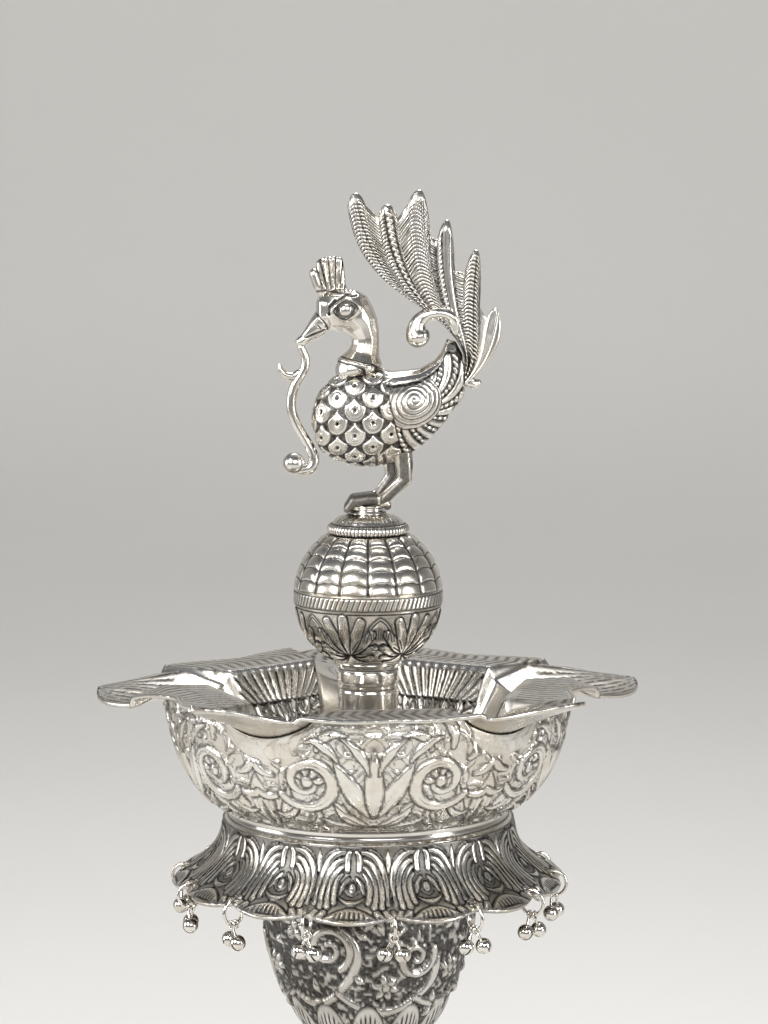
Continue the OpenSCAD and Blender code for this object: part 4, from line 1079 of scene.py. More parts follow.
    # the wall's relief goes inwards, the rest goes up
    inward = onWall * height
    newR = np.where(top, r - 0.9 * inward, ur)
    newZ = np.where(top, z + np.where(onWall, 0.25 * height, height), uz)
    oxide = np.where(top, oxide, 0.12)
    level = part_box("neck_tube")[0].z / mm + s["depth"]
    setPoints(mesh, around(newR, turn, newZ + level))
    setOxide(mesh, oxide)
    placePiece(mesh, ["oil_pan"], brightSilver)


buildPan()
print("pan done")


# bowl: broad repousse scrolls in polished metal, with little black in them
bowlSizes = {"r": 58.4, "footR": 40.8, "h": 33.8, "sheet": 1.2, "repeats": 5, "steps": 750, "rows": 100,
             "firstSpout": 96, "lead": -4, "scrollTurn": 19.44, "scrollR": 9.2, "reliefH": 1.0,
             "chasing": {"line": 0.3, "dark": 0.85, "crease": 0.5}}


def bowlCurve(steps):
    s = bowlSizes
    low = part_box("bowl_shell")[0].z / mm
    return bezier((s["r"], low + s["h"]), (s["r"] - 0.9, low + 0.5 * s["h"]),
                  (s["footR"] + 0.56 * (s["r"] - s["footR"]), low + 0.1 * s["h"]), (s["footR"], low), steps)


# a C-scroll that closes on a small ball, with leaves inside and outside it
def scrollLeaves():
    leaves = []
    fan = ((200, 9, 1.7), (165, 9.5, 1.8), (130, 9, 1.7), (95, 8.5, 1.6),
           (60, 8, 1.5), (25, 7.5, 1.4), (-10, 7, 1.3), (-45, 7, 1.3))  # direction, length, half width
    for a, size, w in fan:
        c, n = compass(a)
        root = (10.4 * c, 10.4 * n)
        pull = (root[0] + 0.7 * size * c, root[1] + 0.7 * size * n)
        tip = (root[0] + size * (0.7 * c - 0.75 * n), root[1] + size * (0.7 * n + 0.75 * c))
        leaves.append((bend(root, pull, tip, 7), [0.9, w, 0.3]))
    for a, size in ((250, 6.0), (205, 6.4), (160, 6.4), (115, 6.0)):
        c, n = compass(a)
        pull = (3.6 * c - 1.8 * n, 3.6 * n + 1.8 * c)
        leaves.append((bend((1.2 * c, 1.2 * n), pull, (size * c, size * n), 6), [0.5, 1.15, 0.4]))
    leaves.append((spiral((0, 0), bowlSizes["scrollR"], 2.4, 60, -420, 60), [1.2, 1.9, 1.8, 1.5, 1.1, 0.9]))
    leaves.append((np.array([(-0.2, 0.0), (0.2, 0.0)]), [1.7, 1.7]))
    return leaves


def bowlPalmette():
    low = [bend((11.5, 0.6 * side), (12.5, 7 * side), (8.5, 14 * side), 8) for side in (-1, 1)]
    low += [bend((10.6, 0.8 * side), (9.0, 7 * side), (3.2, 10.5 * side), 8) for side in (-1, 1)]
    leaves = [(path, [0.7, 1.9, 0.4]) for path in low]
    for a in (30, -30, 0):
        c, n = compass(a)
        leaves.append((np.array([(7.8 - t * c, -t * n) for t in np.linspace(0.3, 22.6, 10)]),
                       [0.4, 1.8, 2.6, 2.9, 2.4, 1.4, 0.3]))
    for side in (-1, 1):
        leaves.append((bend((-8, 1.5 * side), (-15, 3.2 * side), (-17.5, 9 * side), 8), [0.5, 1.6, 0.4]))
        leaves.append((bend((-11, 10 * side), (-16, 13 * side), (-16.5, 19 * side), 8), [0.5, 1.5, 0.4]))
    return leaves


# one comma-shaped stroke in each cell of a net, turned this way and that
def chasedStrokes(px, py, wide=5.2, tall=4.6):
    height, oxide = np.zeros(px.shape), np.zeros(px.shape)
    for di in (-1, 0, 1):
        for dj in (-1, 0, 1):
            i, j = np.floor(px / wide) + di, np.floor(py / tall) + dj
            mixed = np.sin(i * 12.9898 + j * 78.233) * 43758.5453
            chance = mixed - np.floor(mixed)
            other = chance * 57.31 - np.floor(chance * 57.31)
            angle = 0.5 + 1.5 * chance + 0.4 * np.sin(0.23 * py)
            dx = px - (i + 0.3 + 0.4 * other) * wide
            dy = py - (j + 0.3 + 0.4 * chance) * tall
            u, v = dx * np.cos(angle) + dy * np.sin(angle), dy * np.cos(angle) - dx * np.sin(angle)
            long = 3.4 + 1.4 * other
            w = 0.95 * roundTop(u / long) + 1e-6
            d = np.abs(v - 0.16 * u * u + 0.5)
            height += np.where(d < w, 0.55 * roundTop(d / w), 0)
            oxide = np.maximum(oxide, 0.8 * lineOn(d - w, 0.14, 0.16) * (np.abs(u) < long))
    return height, oxide


def bowlRelief(turn, run, radius):
    s = bowlSizes
    curve = evenPoints(bowlCurve(300), 300)
    total = runLength(curve)[-1]
    z = np.interp(run, runLength(curve), curve[:, 1])
    marks = bowlCurve(8)
    angle = sectorAngle(turn, s["repeats"], s["firstSpout"] + 180 + s["lead"])
    # short curved strokes fill the ground
    height, oxide = chasedStrokes(np.abs(angle) * 50, run)
    height += 0.3 * grain(turn * 57, run, 2.1, 5)
    oxide = np.maximum(oxide, 0.06)
    # far leaves between two repeats
    down, side = facePlane(marks[4], marks[5] - marks[3], np.abs(angle) - math.pi / s["repeats"], radius, z)
    far = [(bend((12, -1), (2, -4), (-9, 2), 9), [0.6, 2.2, 0.4]),
           (bend((12, 1), (6, 5), (-3, 7), 9), [0.6, 2.0, 0.4]),
           (bend((11, -3), (6, -8), (-3, -10), 9), [0.6, 2.0, 0.4])]
    layLeaves(down, side, far, height, oxide, 1.2 * s["reliefH"], **s["chasing"])
    fromScroll = np.abs(angle) - math.radians(s["scrollTurn"])
    down, side = facePlane(marks[3], marks[4] - marks[2], fromScroll, radius, z)
    layLeaves(down, side, scrollLeaves(), height, oxide, 1.35 * s["reliefH"], **s["chasing"])
    down, side = facePlane(marks[4], marks[5] - marks[3], angle, radius, z)
    layLeaves(down, side, bowlPalmette(), height, oxide, 1.35 * s["reliefH"], **s["chasing"])
    # small beads under the rim, a border of little leaves above the collar
    bead = np.hypot(((turn * 50) % 1 - 0.5) * 1.15, (run - 3.6) * 0.8)
    height += 0.5 * roundTop(bead / 0.5)
    rays = zigzag(turn * 16 + 0.12 * run)
    foot = smoothStep(4.2, 3.4, total - run) * smoothStep(0.6, 1.2, total - run)
    height += 0.25 * (1 - rays ** 2) * foot
    oxide = np.maximum(oxide, 0.6 * smoothStep(0.6, 0.9, rays) * foot)
    oxide = np.maximum(oxide, 0.85 * smoothStep(0.9, 0.3, total - run))
    spout = np.abs(sectorAngle(turn, s["repeats"], s["firstSpout"])) * radius
    quiet = smoothStep(11, 15, np.hypot(spout, np.maximum(run - 2, 0) * 1.5))
    ends = smoothStep(0, 1.5, run) * smoothStep(0, 3, total - run)
    return height * ends * (0.1 + 0.9 * quiet), oxide * (0.2 + 0.8 * quiet)


# the trough of each spout leaves the bowl through a notch in its rim
notchSizes = {"half": 15.7, "room": 0.45, "within": 1.9, "reach": 14}


def lowerRimAtSpouts(mesh):
    n, pan = notchSizes, panSizes
    co = pointsOf(mesh)
    r, turn = polar(co)
    off, signed, bent = panShape(turn)
    side = r * np.sin(signed)
    at = np.clip(r, bowlSizes["r"] - n["within"], bowlSizes["r"])
    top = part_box("bowl_shell")[1].z / mm
    depth = np.maximum(panDrop(at, off, bent) + pan["sheet"] + n["room"], pan["sheet"])
    limit = np.where(np.abs(side) < n["half"], top + bowlSizes["sheet"] - depth, top)
    floor = top - n["reach"]  # rows above this close up under the notch
    t = np.clip((co[:, 2] - floor) / (top - floor), 0, 1)
    co[:, 2] = np.where(co[:, 2] > floor, floor + t * (np.minimum(limit, top) - floor), co[:, 2])
    setPoints(mesh, co)


def buildBowl():
    s = bowlSizes
    face = evenPoints(bowlCurve(300), s["rows"])
    inside = thinned(evenPoints(bowlCurve(300), 200), s["sheet"])
    back = evenPoints(np.vstack([inside, [[12.0, inside[-1, 1]], [3.4, inside[-1, 1]]]]), 18)
    front = np.vstack([face, [[20.0, face[-1, 1]], [3.4, face[-1, 1]]]])

    def relief(turn, run, radius):
        edge = runLength(face)[-1]
        height, oxide = bowlRelief(turn, np.minimum(run, edge), np.maximum(radius, face[-1, 0]))
        return height * (run <= edge), np.where(run <= edge, oxide, 0.2)
    mesh = turnedShell("bowlShell", front, back, s["steps"], relief)
    lowerRimAtSpouts(mesh)
    placePiece(mesh, ["bowl_shell"], brightSilver)


buildBowl()
print("bowl done")


# foot, base, knops and stem are out of the picture: petals, gadroons and rings like those above

def gadroonRelief(count, total, tall, margin=0.16):
    def relief(turn, run, radius):
        share = run / total
        lobe = zigzag(turn * count / math.tau)
        body = smoothStep(margin, margin + 0.14, share) * smoothStep(margin, margin + 0.14, 1 - share)
        dark = smoothStep(0.8, 0.97, lobe) * body
        rings = np.maximum(lineOn(share - margin * 0.6, 0.02, 0.015),
                           lineOn(share - 1 + margin * 0.6, 0.02, 0.015))
        return tall * roundTop(lobe) * body, np.maximum(dark * 0.95, rings * 0.9)
    return relief


baseSizes = {"footR": 67, "topR": 15, "petals": 16, "motifs": 8, "medallionR": 12.4, "medallionH": 0.8,
             "ropes": 120, "sheet": 1.2, "steps": 560, "rows": 104}


def baseCurve(low, high, upperSteps, lowerSteps):
    s = baseSizes
    h = high - low
    shoulder = (0.8 * s["footR"], low + 0.2 * h)
    upper = bezier((s["topR"], high), (s["topR"] + 1, high - 0.36 * h),
                   (0.45 * s["footR"], shoulder[1] + 0.2 * h), shoulder, upperSteps)
    lower = bezier(shoulder, (0.92 * s["footR"], shoulder[1] - 0.05 * h), (s["footR"], low + 0.1 * h),
                   (s["footR"], low), lowerSteps)
    return np.vstack([upper, lower[1:]])


def baseProfile(rows):
    low, high = (v.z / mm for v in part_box("base_bell"))
    return evenPoints(baseCurve(low, high, 120, 60), rows)


def baseRelief(turn, run, radius):
    s = baseSizes
    total = runLength(baseProfile(300))[-1]
    height, oxide = np.zeros(turn.shape), np.zeros(turn.shape)
    # petals that hang from the top
    across = sectorAngle(turn, s["petals"], frontTurn) / (math.pi / s["petals"])
    tip = 30 - 9 * np.abs(across) ** 1.8
    inPetal = smoothStep(0, 0.8, tip - run) * smoothStep(2.5, 3.5, run)
    height += 0.5 * inPetal * roundTop(across) * smoothStep(3, 10, run)
    petalDark = np.maximum(lineOn(tip - run, 0.4), smoothStep(0.88, 0.97, np.abs(across)) * inPetal)
    veins = smoothStep(12, 15, run) * (1 - smoothStep(23, 27, run)) * (run < tip - 1.5)
    veins = veins * (zigzag(across * 3.5) < 0.28)
    oxide = np.maximum(oxide, np.maximum(petalDark, 0.9 * veins))
    # palmettes on round medallions, as on the skirt
    curve = evenPoints(baseProfile(300), 300)
    z = np.interp(run, runLength(curve), curve[:, 1])
    angle = sectorAngle(turn, s["motifs"], frontTurn)
    low, high = (v.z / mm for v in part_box("base_bell"))
    marks = baseCurve(low, high, 12, 8)
    down, side = facePlane(marks[10], marks[11] - marks[9], angle, radius, z)
    start = np.interp(marks[10][1], curve[::-1, 1], runLength(curve)[::-1]) - 15
    away = np.hypot(down, side) - s["medallionR"]
    inBand = away < 0
    bandH, bandD = np.zeros(turn.shape), np.full(turn.shape, 0.15)
    layLeaves(side, down + 11.6, palmetteLeaves(), bandH, bandD, 0.45, 0.24)
    bandD = np.maximum(bandD, ink(strokeDistance(side, down + 11.6, palmetteVeins()), 0.2))
    rim = smoothStep(-1.5, -1.0, away)
    bandH = bandH * (1 - rim) + 0.25 * rim
    bandD = np.maximum(bandD * (1 - rim), lineOn(away + 1.4, 0.25))
    height = np.where(inBand, s["medallionH"] * smoothStep(0.0, -0.4, away) + bandH, height)
    oxide = np.maximum(np.where(inBand, bandD, oxide), lineOn(away - 0.25, 0.3))
    # a leaf between each two medallions
    gapLeaf = sectorAngle(turn, s["motifs"], frontTurn + 180 / s["motifs"])
    down, side = facePlane(marks[10], marks[11] - marks[9], gapLeaf, radius, z)
    between = [(bend((12, 0), (5, 0), (-9, 0), 8), [0.5, 2.1, 0.3])]
    between += [(bend((12, a), (8, 6 * a), (1, 5.5 * a), 8), [0.5, 1.4, 0.3]) for a in (1, -1)]
    layLeaves(down, side, between, height, oxide, 0.5, 0.26, 1.0, 0.2)
    for at in (2.2, start - 1.5, total - 15.5, total - 4):
        line = lineOn(run - at, 0.35)
        oxide = np.maximum(oxide, 0.9 * line)
        height -= 0.2 * line
    # rope above the foot
    rope = zigzag(turn * s["ropes"] / math.tau + run * 0.18)
    inRope = smoothStep(0, 0.6, run - (total - 14.6)) * smoothStep(0, 0.6, (total - 5) - run)
    oxide = np.maximum(oxide, smoothStep(0.6, 0.85, rope) * inRope)
    height += 0.35 * (1 - rope ** 2) * inRope
    ends = fadeEnds(run, total, 2)
    return height * ends, oxide


def buildBase():
    s = baseSizes
    back = evenPoints(thinned(baseProfile(200), s["sheet"]), 24)
    mesh = turnedShell("baseBell", baseProfile(s["rows"]), back, s["steps"], baseRelief)
    placePiece(mesh, ["base_bell"], brightSilver)


# foot ring: a rope-cut roll on a plain tread
footSizes = {"treadIn": 7.4, "ledgeR": 60.7, "boreR": 60.55, "ledgeZ": 9.2, "ropes": 132, "rows": 44}


def buildFoot():
    s = footSizes
    high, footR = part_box("foot_ring")[1].z / mm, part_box("foot_ring")[1].x / mm
    roll = high / 2 - 0.5
    inner = footR - roll
    arc = np.array([[inner + roll * math.cos(a), high / 2 + roll * math.sin(a)]
                    for a in np.linspace(1.5, -1.1, 40)])
    face = evenPoints(np.vstack([[[inner, high]], [[inner + 0.2, high - 0.02]], arc,
                                 [[inner + 2.6, 0.4], [footR - s["treadIn"], 0.0]]]), s["rows"])
    rollEnd = runLength(np.vstack([[[inner, high]], arc]))[-1]
    back = np.array([[s["ledgeR"], high], [s["ledgeR"], s["ledgeZ"]],
                     [s["boreR"], s["ledgeZ"]], [s["boreR"], 0.0]])

    def rope(turn, run, radius):
        strand = zigzag(turn * s["ropes"] / math.tau + run * 0.16)
        band = smoothStep(1.2, 2.0, run) * smoothStep(0.6, 1.6, rollEnd - run)
        return (0.35 * (1 - strand ** 2) - 0.35) * band, smoothStep(0.62, 0.88, strand) * band
    placePiece(turnedShell("footRing", face, back, s["ropes"] * 6, rope), ["foot_ring"], brightSilver)


# lower knop and the ring under the vase: gadroons
knopSizes = {"r": 19, "seats": (15, 9.3), "topR": 10.8, "footR": 13, "sheet": 1.2,
             "gadroons": 16, "tall": 0.9, "steps": 384, "rows": 48}
vaseRingSizes = {"seatR": 9, "boreR": 3.4, "gadroons": 28, "tall": 0.45, "margin": 0.2,
                 "steps": 392, "rows": 48}


def buildKnop():
    s = knopSizes
    low, high = (v.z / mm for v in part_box("lower_knop"))
    swell = (4 * s["r"] - 0.5 * sum(s["seats"])) / 3
    curve = bezier((s["topR"], high), (swell, high - 1), (swell, low + 1), (s["footR"], low), 200)
    curve = evenPoints(curve, s["rows"])
    mesh = turnedShell("lowerKnop", curve, evenPoints(thinned(curve, s["sheet"]), 16), s["steps"],
                       gadroonRelief(s["gadroons"], runLength(curve)[-1], s["tall"]))
    placePiece(mesh, ["lower_knop"], brightSilver)


def buildVaseRing():
    s = vaseRingSizes
    low, high = (v.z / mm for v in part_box("vase_knop"))
    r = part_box("vase_knop")[1].x / mm
    half = (high - low) / 2
    arc = [[r - half + half * math.cos(a), low + half + half * math.sin(a)]
           for a in np.linspace(math.pi / 2, -math.pi / 2, 60)]
    curve = evenPoints(np.vstack([[[s["seatR"], high]], arc, [[s["seatR"], low]]]), s["rows"])
    mesh = turnedShell("vaseRing", curve, np.array([[s["boreR"], high], [s["boreR"], low]]), s["steps"],
                       gadroonRelief(s["gadroons"], runLength(curve)[-1], s["tall"], s["margin"]))
    placePiece(mesh, ["vase_knop"], brightSilver)


# stem: long flutes between turned rings
stemSizes = {"topR": 12.5, "pullR": 8.3, "footR": 11.3, "sheet": 1.2, "flutes": 12, "ringsH": 14,
             "beads": ((6, 0.8, 1.6), (11, 0.6, 1.2)),  # place from the end, height, half width
             "steps": 240, "rows": 96}


def buildStem():
    s = stemSizes
    low, high = (v.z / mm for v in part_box("stem_tube"))
    h = high - low
    curve = bezier((s["topR"], high), (s["pullR"], high - 0.2 * h), (s["pullR"], low + 0.25 * h),
                   (s["footR"], low), 200)
    curve = evenPoints(curve, s["rows"])
    total = runLength(curve)[-1]

    def flutes(turn, run, radius):
        lobe = zigzag(turn * s["flutes"] / math.tau)
        body = fadeEnds(run - s["ringsH"], total - 2 * s["ringsH"], 3)
        height, oxide = 0.5 * roundTop(lobe) * body, smoothStep(0.84, 0.97, lobe) * body
        for place, tall, wide in s["beads"]:
            for at in (place, total - place):
                height = height + tall * roundTop((run - at) / wide)
                oxide = np.maximum(oxide, lineOn(np.abs(run - at) - wide, 0.3))
        return height, oxide
    mesh = turnedShell("stemTube", curve, evenPoints(thinned(curve, s["sheet"]), 16), s["steps"], flutes)
    placePiece(mesh, ["stem_tube"], brightSilver)


buildBase()
buildFoot()
buildKnop()
buildVaseRing()
buildStem()
print("foot, base and stem done")


# bird: each casting starts from its solid, is meshed finely and smoothed, and then gets its chasing
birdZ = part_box("finial_post")[1].z / mm


# each point moves to the middle of its neighbours, a number of times
def softened(values, a, b, rounds):
    count = np.bincount(a, minlength=len(values)) + np.bincount(b, minlength=len(values))
    for again in range(rounds):
        total = [np.bincount(a, v[b], len(v)) + np.bincount(b, v[a], len(v)) for v in values.T]
        values = 0.5 * values + 0.5 * np.stack(total, axis=1) / count[:, None]
    return values


def fineCopy(name, node, voxel, rounds):
    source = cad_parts[node]
    mesh = source.data.copy()
    mesh.name = name
    bm = bmesh.new()
    bm.from_mesh(mesh)
    bmesh.ops.remove_doubles(bm, verts=bm.verts, dist=1e-6)
    bm.to_mesh(mesh)
    bm.free()
    work = bpy.data.objects.new(name + "Work", mesh)
    scene.collection.objects.link(work)
    remesh = work.modifiers.new("fine", "REMESH")
    remesh.mode = "VOXEL"
    remesh.voxel_size = voxel * mm
    made = bpy.data.meshes.new_from_object(work.evaluated_get(bpy.context.evaluated_depsgraph_get()))
    bpy.data.objects.remove(work)
    bpy.data.meshes.remove(mesh)
    made.name = name
    co = pointsOf(made) / mm
    ends = np.zeros(len(made.edges) * 2, np.int32)
    made.edges.foreach_get("vertices", ends)
    a, b = ends[::2], ends[1::2]
    smooth = softened(co, a, b, rounds)
    for again in range(2):  # what thin rods lost is given back
        smooth = smooth + softened(co - smooth, a, b, rounds)
    co = smooth
    setPoints(made, co * mm)
    normals = np.zeros(len(made.vertices) * 3, np.float32)
    made.vertex_normals.foreach_get("vector", normals)
    return made, co - [0, 0, birdZ], normals.reshape(-1, 3).astype(float)


def finishBird(mesh, co, normals, height, oxide, node):
    setPoints(mesh, (co + normals * height[:, None] + [0, 0, birdZ]) * mm)
    setOxide(mesh, oxide)
    placePiece(mesh, [node], brightSilver, scaled=False)


bodySizes = {"scaleW": 10.4, "scaleH": 3.2, "wing": (13.4, 30.8), "wingR": 7.4, "wingPitch": 1.35,
             "feathers": 28, "beadPitch": 1.3, "legPitch": 1.25, "legTop": 17,
             "bellyZ": 11.0, "thighZ": 15.5, "neck": (-2.2, 39.2), "voxel": 0.25, "soften": 12}
bodySections = np.array([
    [-15.8, 24.9, 1.5, 1], [-14.6, 24.3, 6.5, 4], [-12.8, 24.6, 9.2, 5.8], [-10, 25, 11.6, 7.4],
    [-6, 25.3, 13.3, 8.8], [-2, 25.4, 14.1, 9.5], [2, 25.5, 14, 9.7], [6.5, 25.7, 13.1, 9.3],
    [11, 26.8, 12.3, 8.4], [15, 28.3, 11.3, 7.2], [19, 31.3, 10.5, 5.8], [21, 33.6, 10.6, 5],
    [22.6, 36.5, 11.5, 4.4], [25.3, 37.9, 9.2, 3.3], [27.2, 37.4, 6, 2.4]])
nearLeg = np.array([(10, 16.5), (10.4, 11), (10.6, 7.6), (4.2, 1.6)])
farLeg = np.array([(6.4, 15), (7, 8.2), (2.8, 2.2)])


def scalePattern(u, v):
    s = bodySizes
    height, oxide = np.zeros(u.shape), np.full(u.shape, 0.95)
    row = np.round(v / s["scaleH"])
    for k in (2, 1, 0, -1, -2):  # upper rows first, so that each row lies over the one above it
        r = row + k
        x = (u / s["scaleW"] + 0.5 * (r % 2) + 0.5) % 1 - 0.5
        dx, dy = x * s["scaleW"], v - r * s["scaleH"]
        # a round shield that draws in to a point at its top
        tip = 2.95 * np.clip((3.9 - dy) / 3.0, 0, 1) ** 2
        room = np.where(dy < 0.9, 3.1 * roundTop(dy / 2.9), tip)
        gap = np.minimum(room - np.abs(dx), np.where(dy < 0, 3.0 - np.hypot(dx, dy * 1.04), 9))
        inside = gap > 0
        eye = np.hypot(dx, dy)
        dome = 0.5 * smoothStep(0, 0.35, gap) - 0.4 * ink(eye, 0.5, 0.25)
        dome = dome + 0.12 * lineOn(eye - 1.0, 0.25, 0.2)
        rimLine = 0.6 * lineOn(gap - 0.95, 0.08, 0.14) * (dy < 0.6)
        ring = 0.55 * lineOn(eye - 1.5, 0.08, 0.14)
        dark = np.maximum.reduce([1 - smoothStep(0.02, 0.2, gap), ink(eye, 0.55, 0.15), ring, rimLine])
        height = np.where(inside, dome, height)
        oxide = np.where(inside, dark, oxide)
    return height, oxide


def buildBirdBody():
    s = bodySizes
    mesh, co, normals = fineCopy("birdBody", "bird_body", s["voxel"], s["soften"])
    x, y, z = co.T
    mid = np.interp(x, bodySections[:, 0], bodySections[:, 1])
    tall = np.interp(x, bodySections[:, 0], bodySections[:, 2])
    wide = np.interp(x, bodySections[:, 0], bodySections[:, 3])
    profileRun = runLength(bodySections[:, [0, 3]])
    u = np.interp(x, bodySections[:, 0], profileRun)
    angle = np.arctan2((z - mid) / np.maximum(tall, 0.5), np.abs(y) / np.maximum(wide, 0.5))
    v = angle * 0.5 * (tall + wide) + 0.9
    scalesH, scalesD = scalePattern(u, v)
    onBody = np.hypot((z - mid) / np.maximum(tall, 0.5), y / np.maximum(wide, 0.5)) > 0.8
    onBody &= (z > s["bellyZ"]) & ((z > s["thighZ"]) | (x < 2))
    wx, wz = s["wing"]
    dx, dz = x - wx, z - wz
    a = np.arctan2(dz, dx)
    # the scroll is drawn out to the lower front
    d = np.hypot(dx, dz * 1.05) * (1 - 0.2 * np.clip(np.cos(a + 2.3), 0, 1) ** 2)
    # the wing's border runs down from its front edge to the belly
    front = wx - 7.6 + 0.10 * (z - wz) ** 2 * (z > wz) * 0.5 + 0.24 * np.clip(wz - z, 0, 30)
    onWing = (x > front) & onBody & (np.abs(y) > 1.4)
    turnsIn = (d - a / math.tau * s["wingPitch"]) / s["wingPitch"]
    groove = zigzag(turnsIn)
    wingH = 0.32 * roundTop(groove) + 0.3
    wingD = smoothStep(0.6, 0.88, groove)
    band = d - s["wingR"]
    sweep = a - 0.07 * band  # feathers fan out from the scroll, plain and beaded in turn
    place = sweep * s["feathers"] / math.tau
    number = np.floor(place)
    within = (place - number) * 2 - 1
    bead = np.hypot((band % s["beadPitch"] - 0.5 * s["beadPitch"]) / 0.58, within / 0.62)
    beaded = number % 2 == 0
    bandH = np.where(beaded, 0.5 * roundTop(bead), 0.5 * roundTop(within))
    bandD = np.where(beaded, smoothStep(0.8, 1.05, bead), smoothStep(0.72, 0.95, np.abs(within)))
    bandD = np.maximum(bandD, lineOn(band, 0.3))
    wingH = np.where(band > 0, bandH, wingH)
    wingD = np.where(band > 0, bandD, wingD)
    edge = lineOn(x - front, 0.45)
    wingD = np.maximum(wingD, edge * (np.abs(y) > 1.4))
    # smooth back from the neck to the tail
    back = smoothStep(0.62, 0.78, np.sin(angle)) * smoothStep(4, 7, x)
    height = np.where(onBody, scalesH, 0.0)
    oxide = np.where(onBody, scalesD, 0.0)
    height = np.where(onWing, wingH, height)
    oxide = np.where(onWing, wingD, oxide)
    backLine = ink(np.abs(np.sin(angle) - 0.66) * 6, 0.3) * (x > 5) * onBody
    height = height * (1 - back)
    oxide = np.maximum(oxide * (1 - back), backLine)
    # legs: ribs along the shank
    onLeg = ~onBody & (z < s["legTop"])
    fromLeg = np.where(y < 0, strokeDistance(x, z, [nearLeg], 30), strokeDistance(x, z, [farLeg], 30))
    rib = zigzag(fromLeg / s["legPitch"])
    height = np.where(onLeg, 0.45 + 0.35 * (1 - rib ** 2), height)
    oxide = np.where(onLeg, 0.8 * smoothStep(0.8, 0.94, rib), oxide)
    neckRing = np.hypot(x - s["neck"][0], (z - s["neck"][1]) * 0.3) < 7
    oxide = np.maximum(oxide, 0.8 * lineOn(z - 39.4 + 0.25 * x, 0.4) * neckRing)
    finishBird(mesh, co, normals, height * 0.9, oxide, "bird_body")


headSizes = {"eye": (-6.3, 56.4), "ballR": 1.9, "collarZ": 38.7, "crestX": -4.5, "crestZ": 61.4,
             "crestRib": 5.8, "voxel": 0.2, "soften": 14}


def buildBirdHead():
    s = headSizes
    mesh, co, normals = fineCopy("birdHead", "bird_head", s["voxel"], s["soften"])
    x, y, z = co.T
    height, oxide = np.zeros(x.shape), np.zeros(x.shape)
    ex, ez = s["eye"]
    facing = np.abs(y) > 1.2
    # almond eye with a ball in it, and brow lines above
    dx, dz = x - ex, z - ez - 0.12 * (x - ex)
    lid = np.hypot(dx / 3.2, dz / np.maximum(2.5 - 0.22 * np.abs(dx), 0.3))
    ball = np.hypot(dx, dz)
    height += facing * (0.35 * lineOn(lid - 1.2, 0.16, 0.14) - 0.4 * ink(lid, 0.95, 0.15))
    height += facing * 1.1 * roundTop(ball / s["ballR"])
    corner = ink(lid, 0.98, 0.1) * smoothStep(0.02, 0.2, ball - s["ballR"] - 0.02)
    dark = np.maximum.reduce([corner, lineOn(lid - 1.05, 0.1, 0.08), 0.8 * lineOn(ball - s["ballR"], 0.16)])
    cheek = [throughPoints([(-11.2, 55.2), (-11.0, 57.2), (-9.3, 59.2)], 12)]
    brow = [throughPoints([(-8.6, 59.3), (-6.2, 60.5), (-4.6, 60.2), (-3.2, 60.5)], 16)]
    beak = [throughPoints([(-14.6, 55.2), (-12.6, 53.2), (-11.2, 50.0)], 12),
            bend((-19.6, 47.1), (-16.4, 49.4), (-12.6, 50.9), 9),
            bend((-14.4, 52.0), (-14.0, 51.8), (-13.6, 51.3), 4)]
    lines = np.maximum.reduce([ink(strokeDistance(x, z, strokes), half)
                               for strokes, half in ((cheek, 0.55), (brow, 0.3), (beak, 0.24))])
    dark = np.maximum(dark, lines)
    height -= facing * 0.22 * lines
    oxide = np.maximum(oxide, facing * dark)
    # the beak is full at its root
    height += 0.8 * smoothStep(-11.4, -13.2, x) * (1 - 0.7 * smoothStep(-15.5, -19.4, x))
    # collar at the neck's foot
    foot = z + 0.25 * x - s["collarZ"]
    height += 1.6 * smoothStep(5.5, 0.5, foot) + 0.35 * lineOn(foot - 1.3, 0.5, 0.4)
    oxide = np.maximum(oxide, np.maximum(lineOn(foot - 0.5, 0.25), lineOn(foot - 2.1, 0.25)))
    # crest: fine ribs along each lobe, dark between the lobes
    aboveHead = z + 0.12 * (x + 10) - s["crestZ"]
    crest = smoothStep(0, 0.8, aboveHead) * (x < s["crestX"])
    fan = np.degrees(np.arctan2(x + 9.3, z - 50.0))
    rib = zigzag(fan / s["crestRib"])
    height += crest * 0.3 * (1 - rib ** 2)
    oxide = np.maximum(oxide, crest * smoothStep(0.66, 0.84, rib))
    oxide = np.maximum(oxide, 0.9 * lineOn(aboveHead, 0.3) * (x < s["crestX"]))
    finishBird(mesh, co, normals, height, oxide, "bird_head")


tailSizes = {"tips": [[-3.6, 89.6], [5.5, 86.4], [14.9, 90.5], [22.8, 82], [31.2, 73.4], [36.7, 56.8]],
             "halfW": [3, 3.2, 3.8, 3.2, 3.2, 2.4],
             "notch": [[7, 8], [7, 8], [8, 26], [12, 28], [14, 32], [7, 12]],
             "root": [[27.7, 41.5], [27.7, 34.6]], "rise": [[26.5, 58], [34.5, 39]],
             "sweep": [[-3.4, 58], [39, 47]], "columns": 24, "rows": 230, "scrollLow": 44,
             "scroll": [(25, 50.2, 1.8), (24.9, 53.1, 2.1), (22.8, 54.9, 2.2), (19.8, 55.3, 2.2),
                        (16.8, 54.5, 2.1), (14.6, 52.8, 2.3), (13.9, 50.4, 2.9), (14.3, 48.8, 3.5)],
             "bud": [(28.6, 35.4, 1.4), (30.4, 35, 1.7), (31.6, 35.2, 1.1)]}


plumeCount = len(tailSizes["tips"])


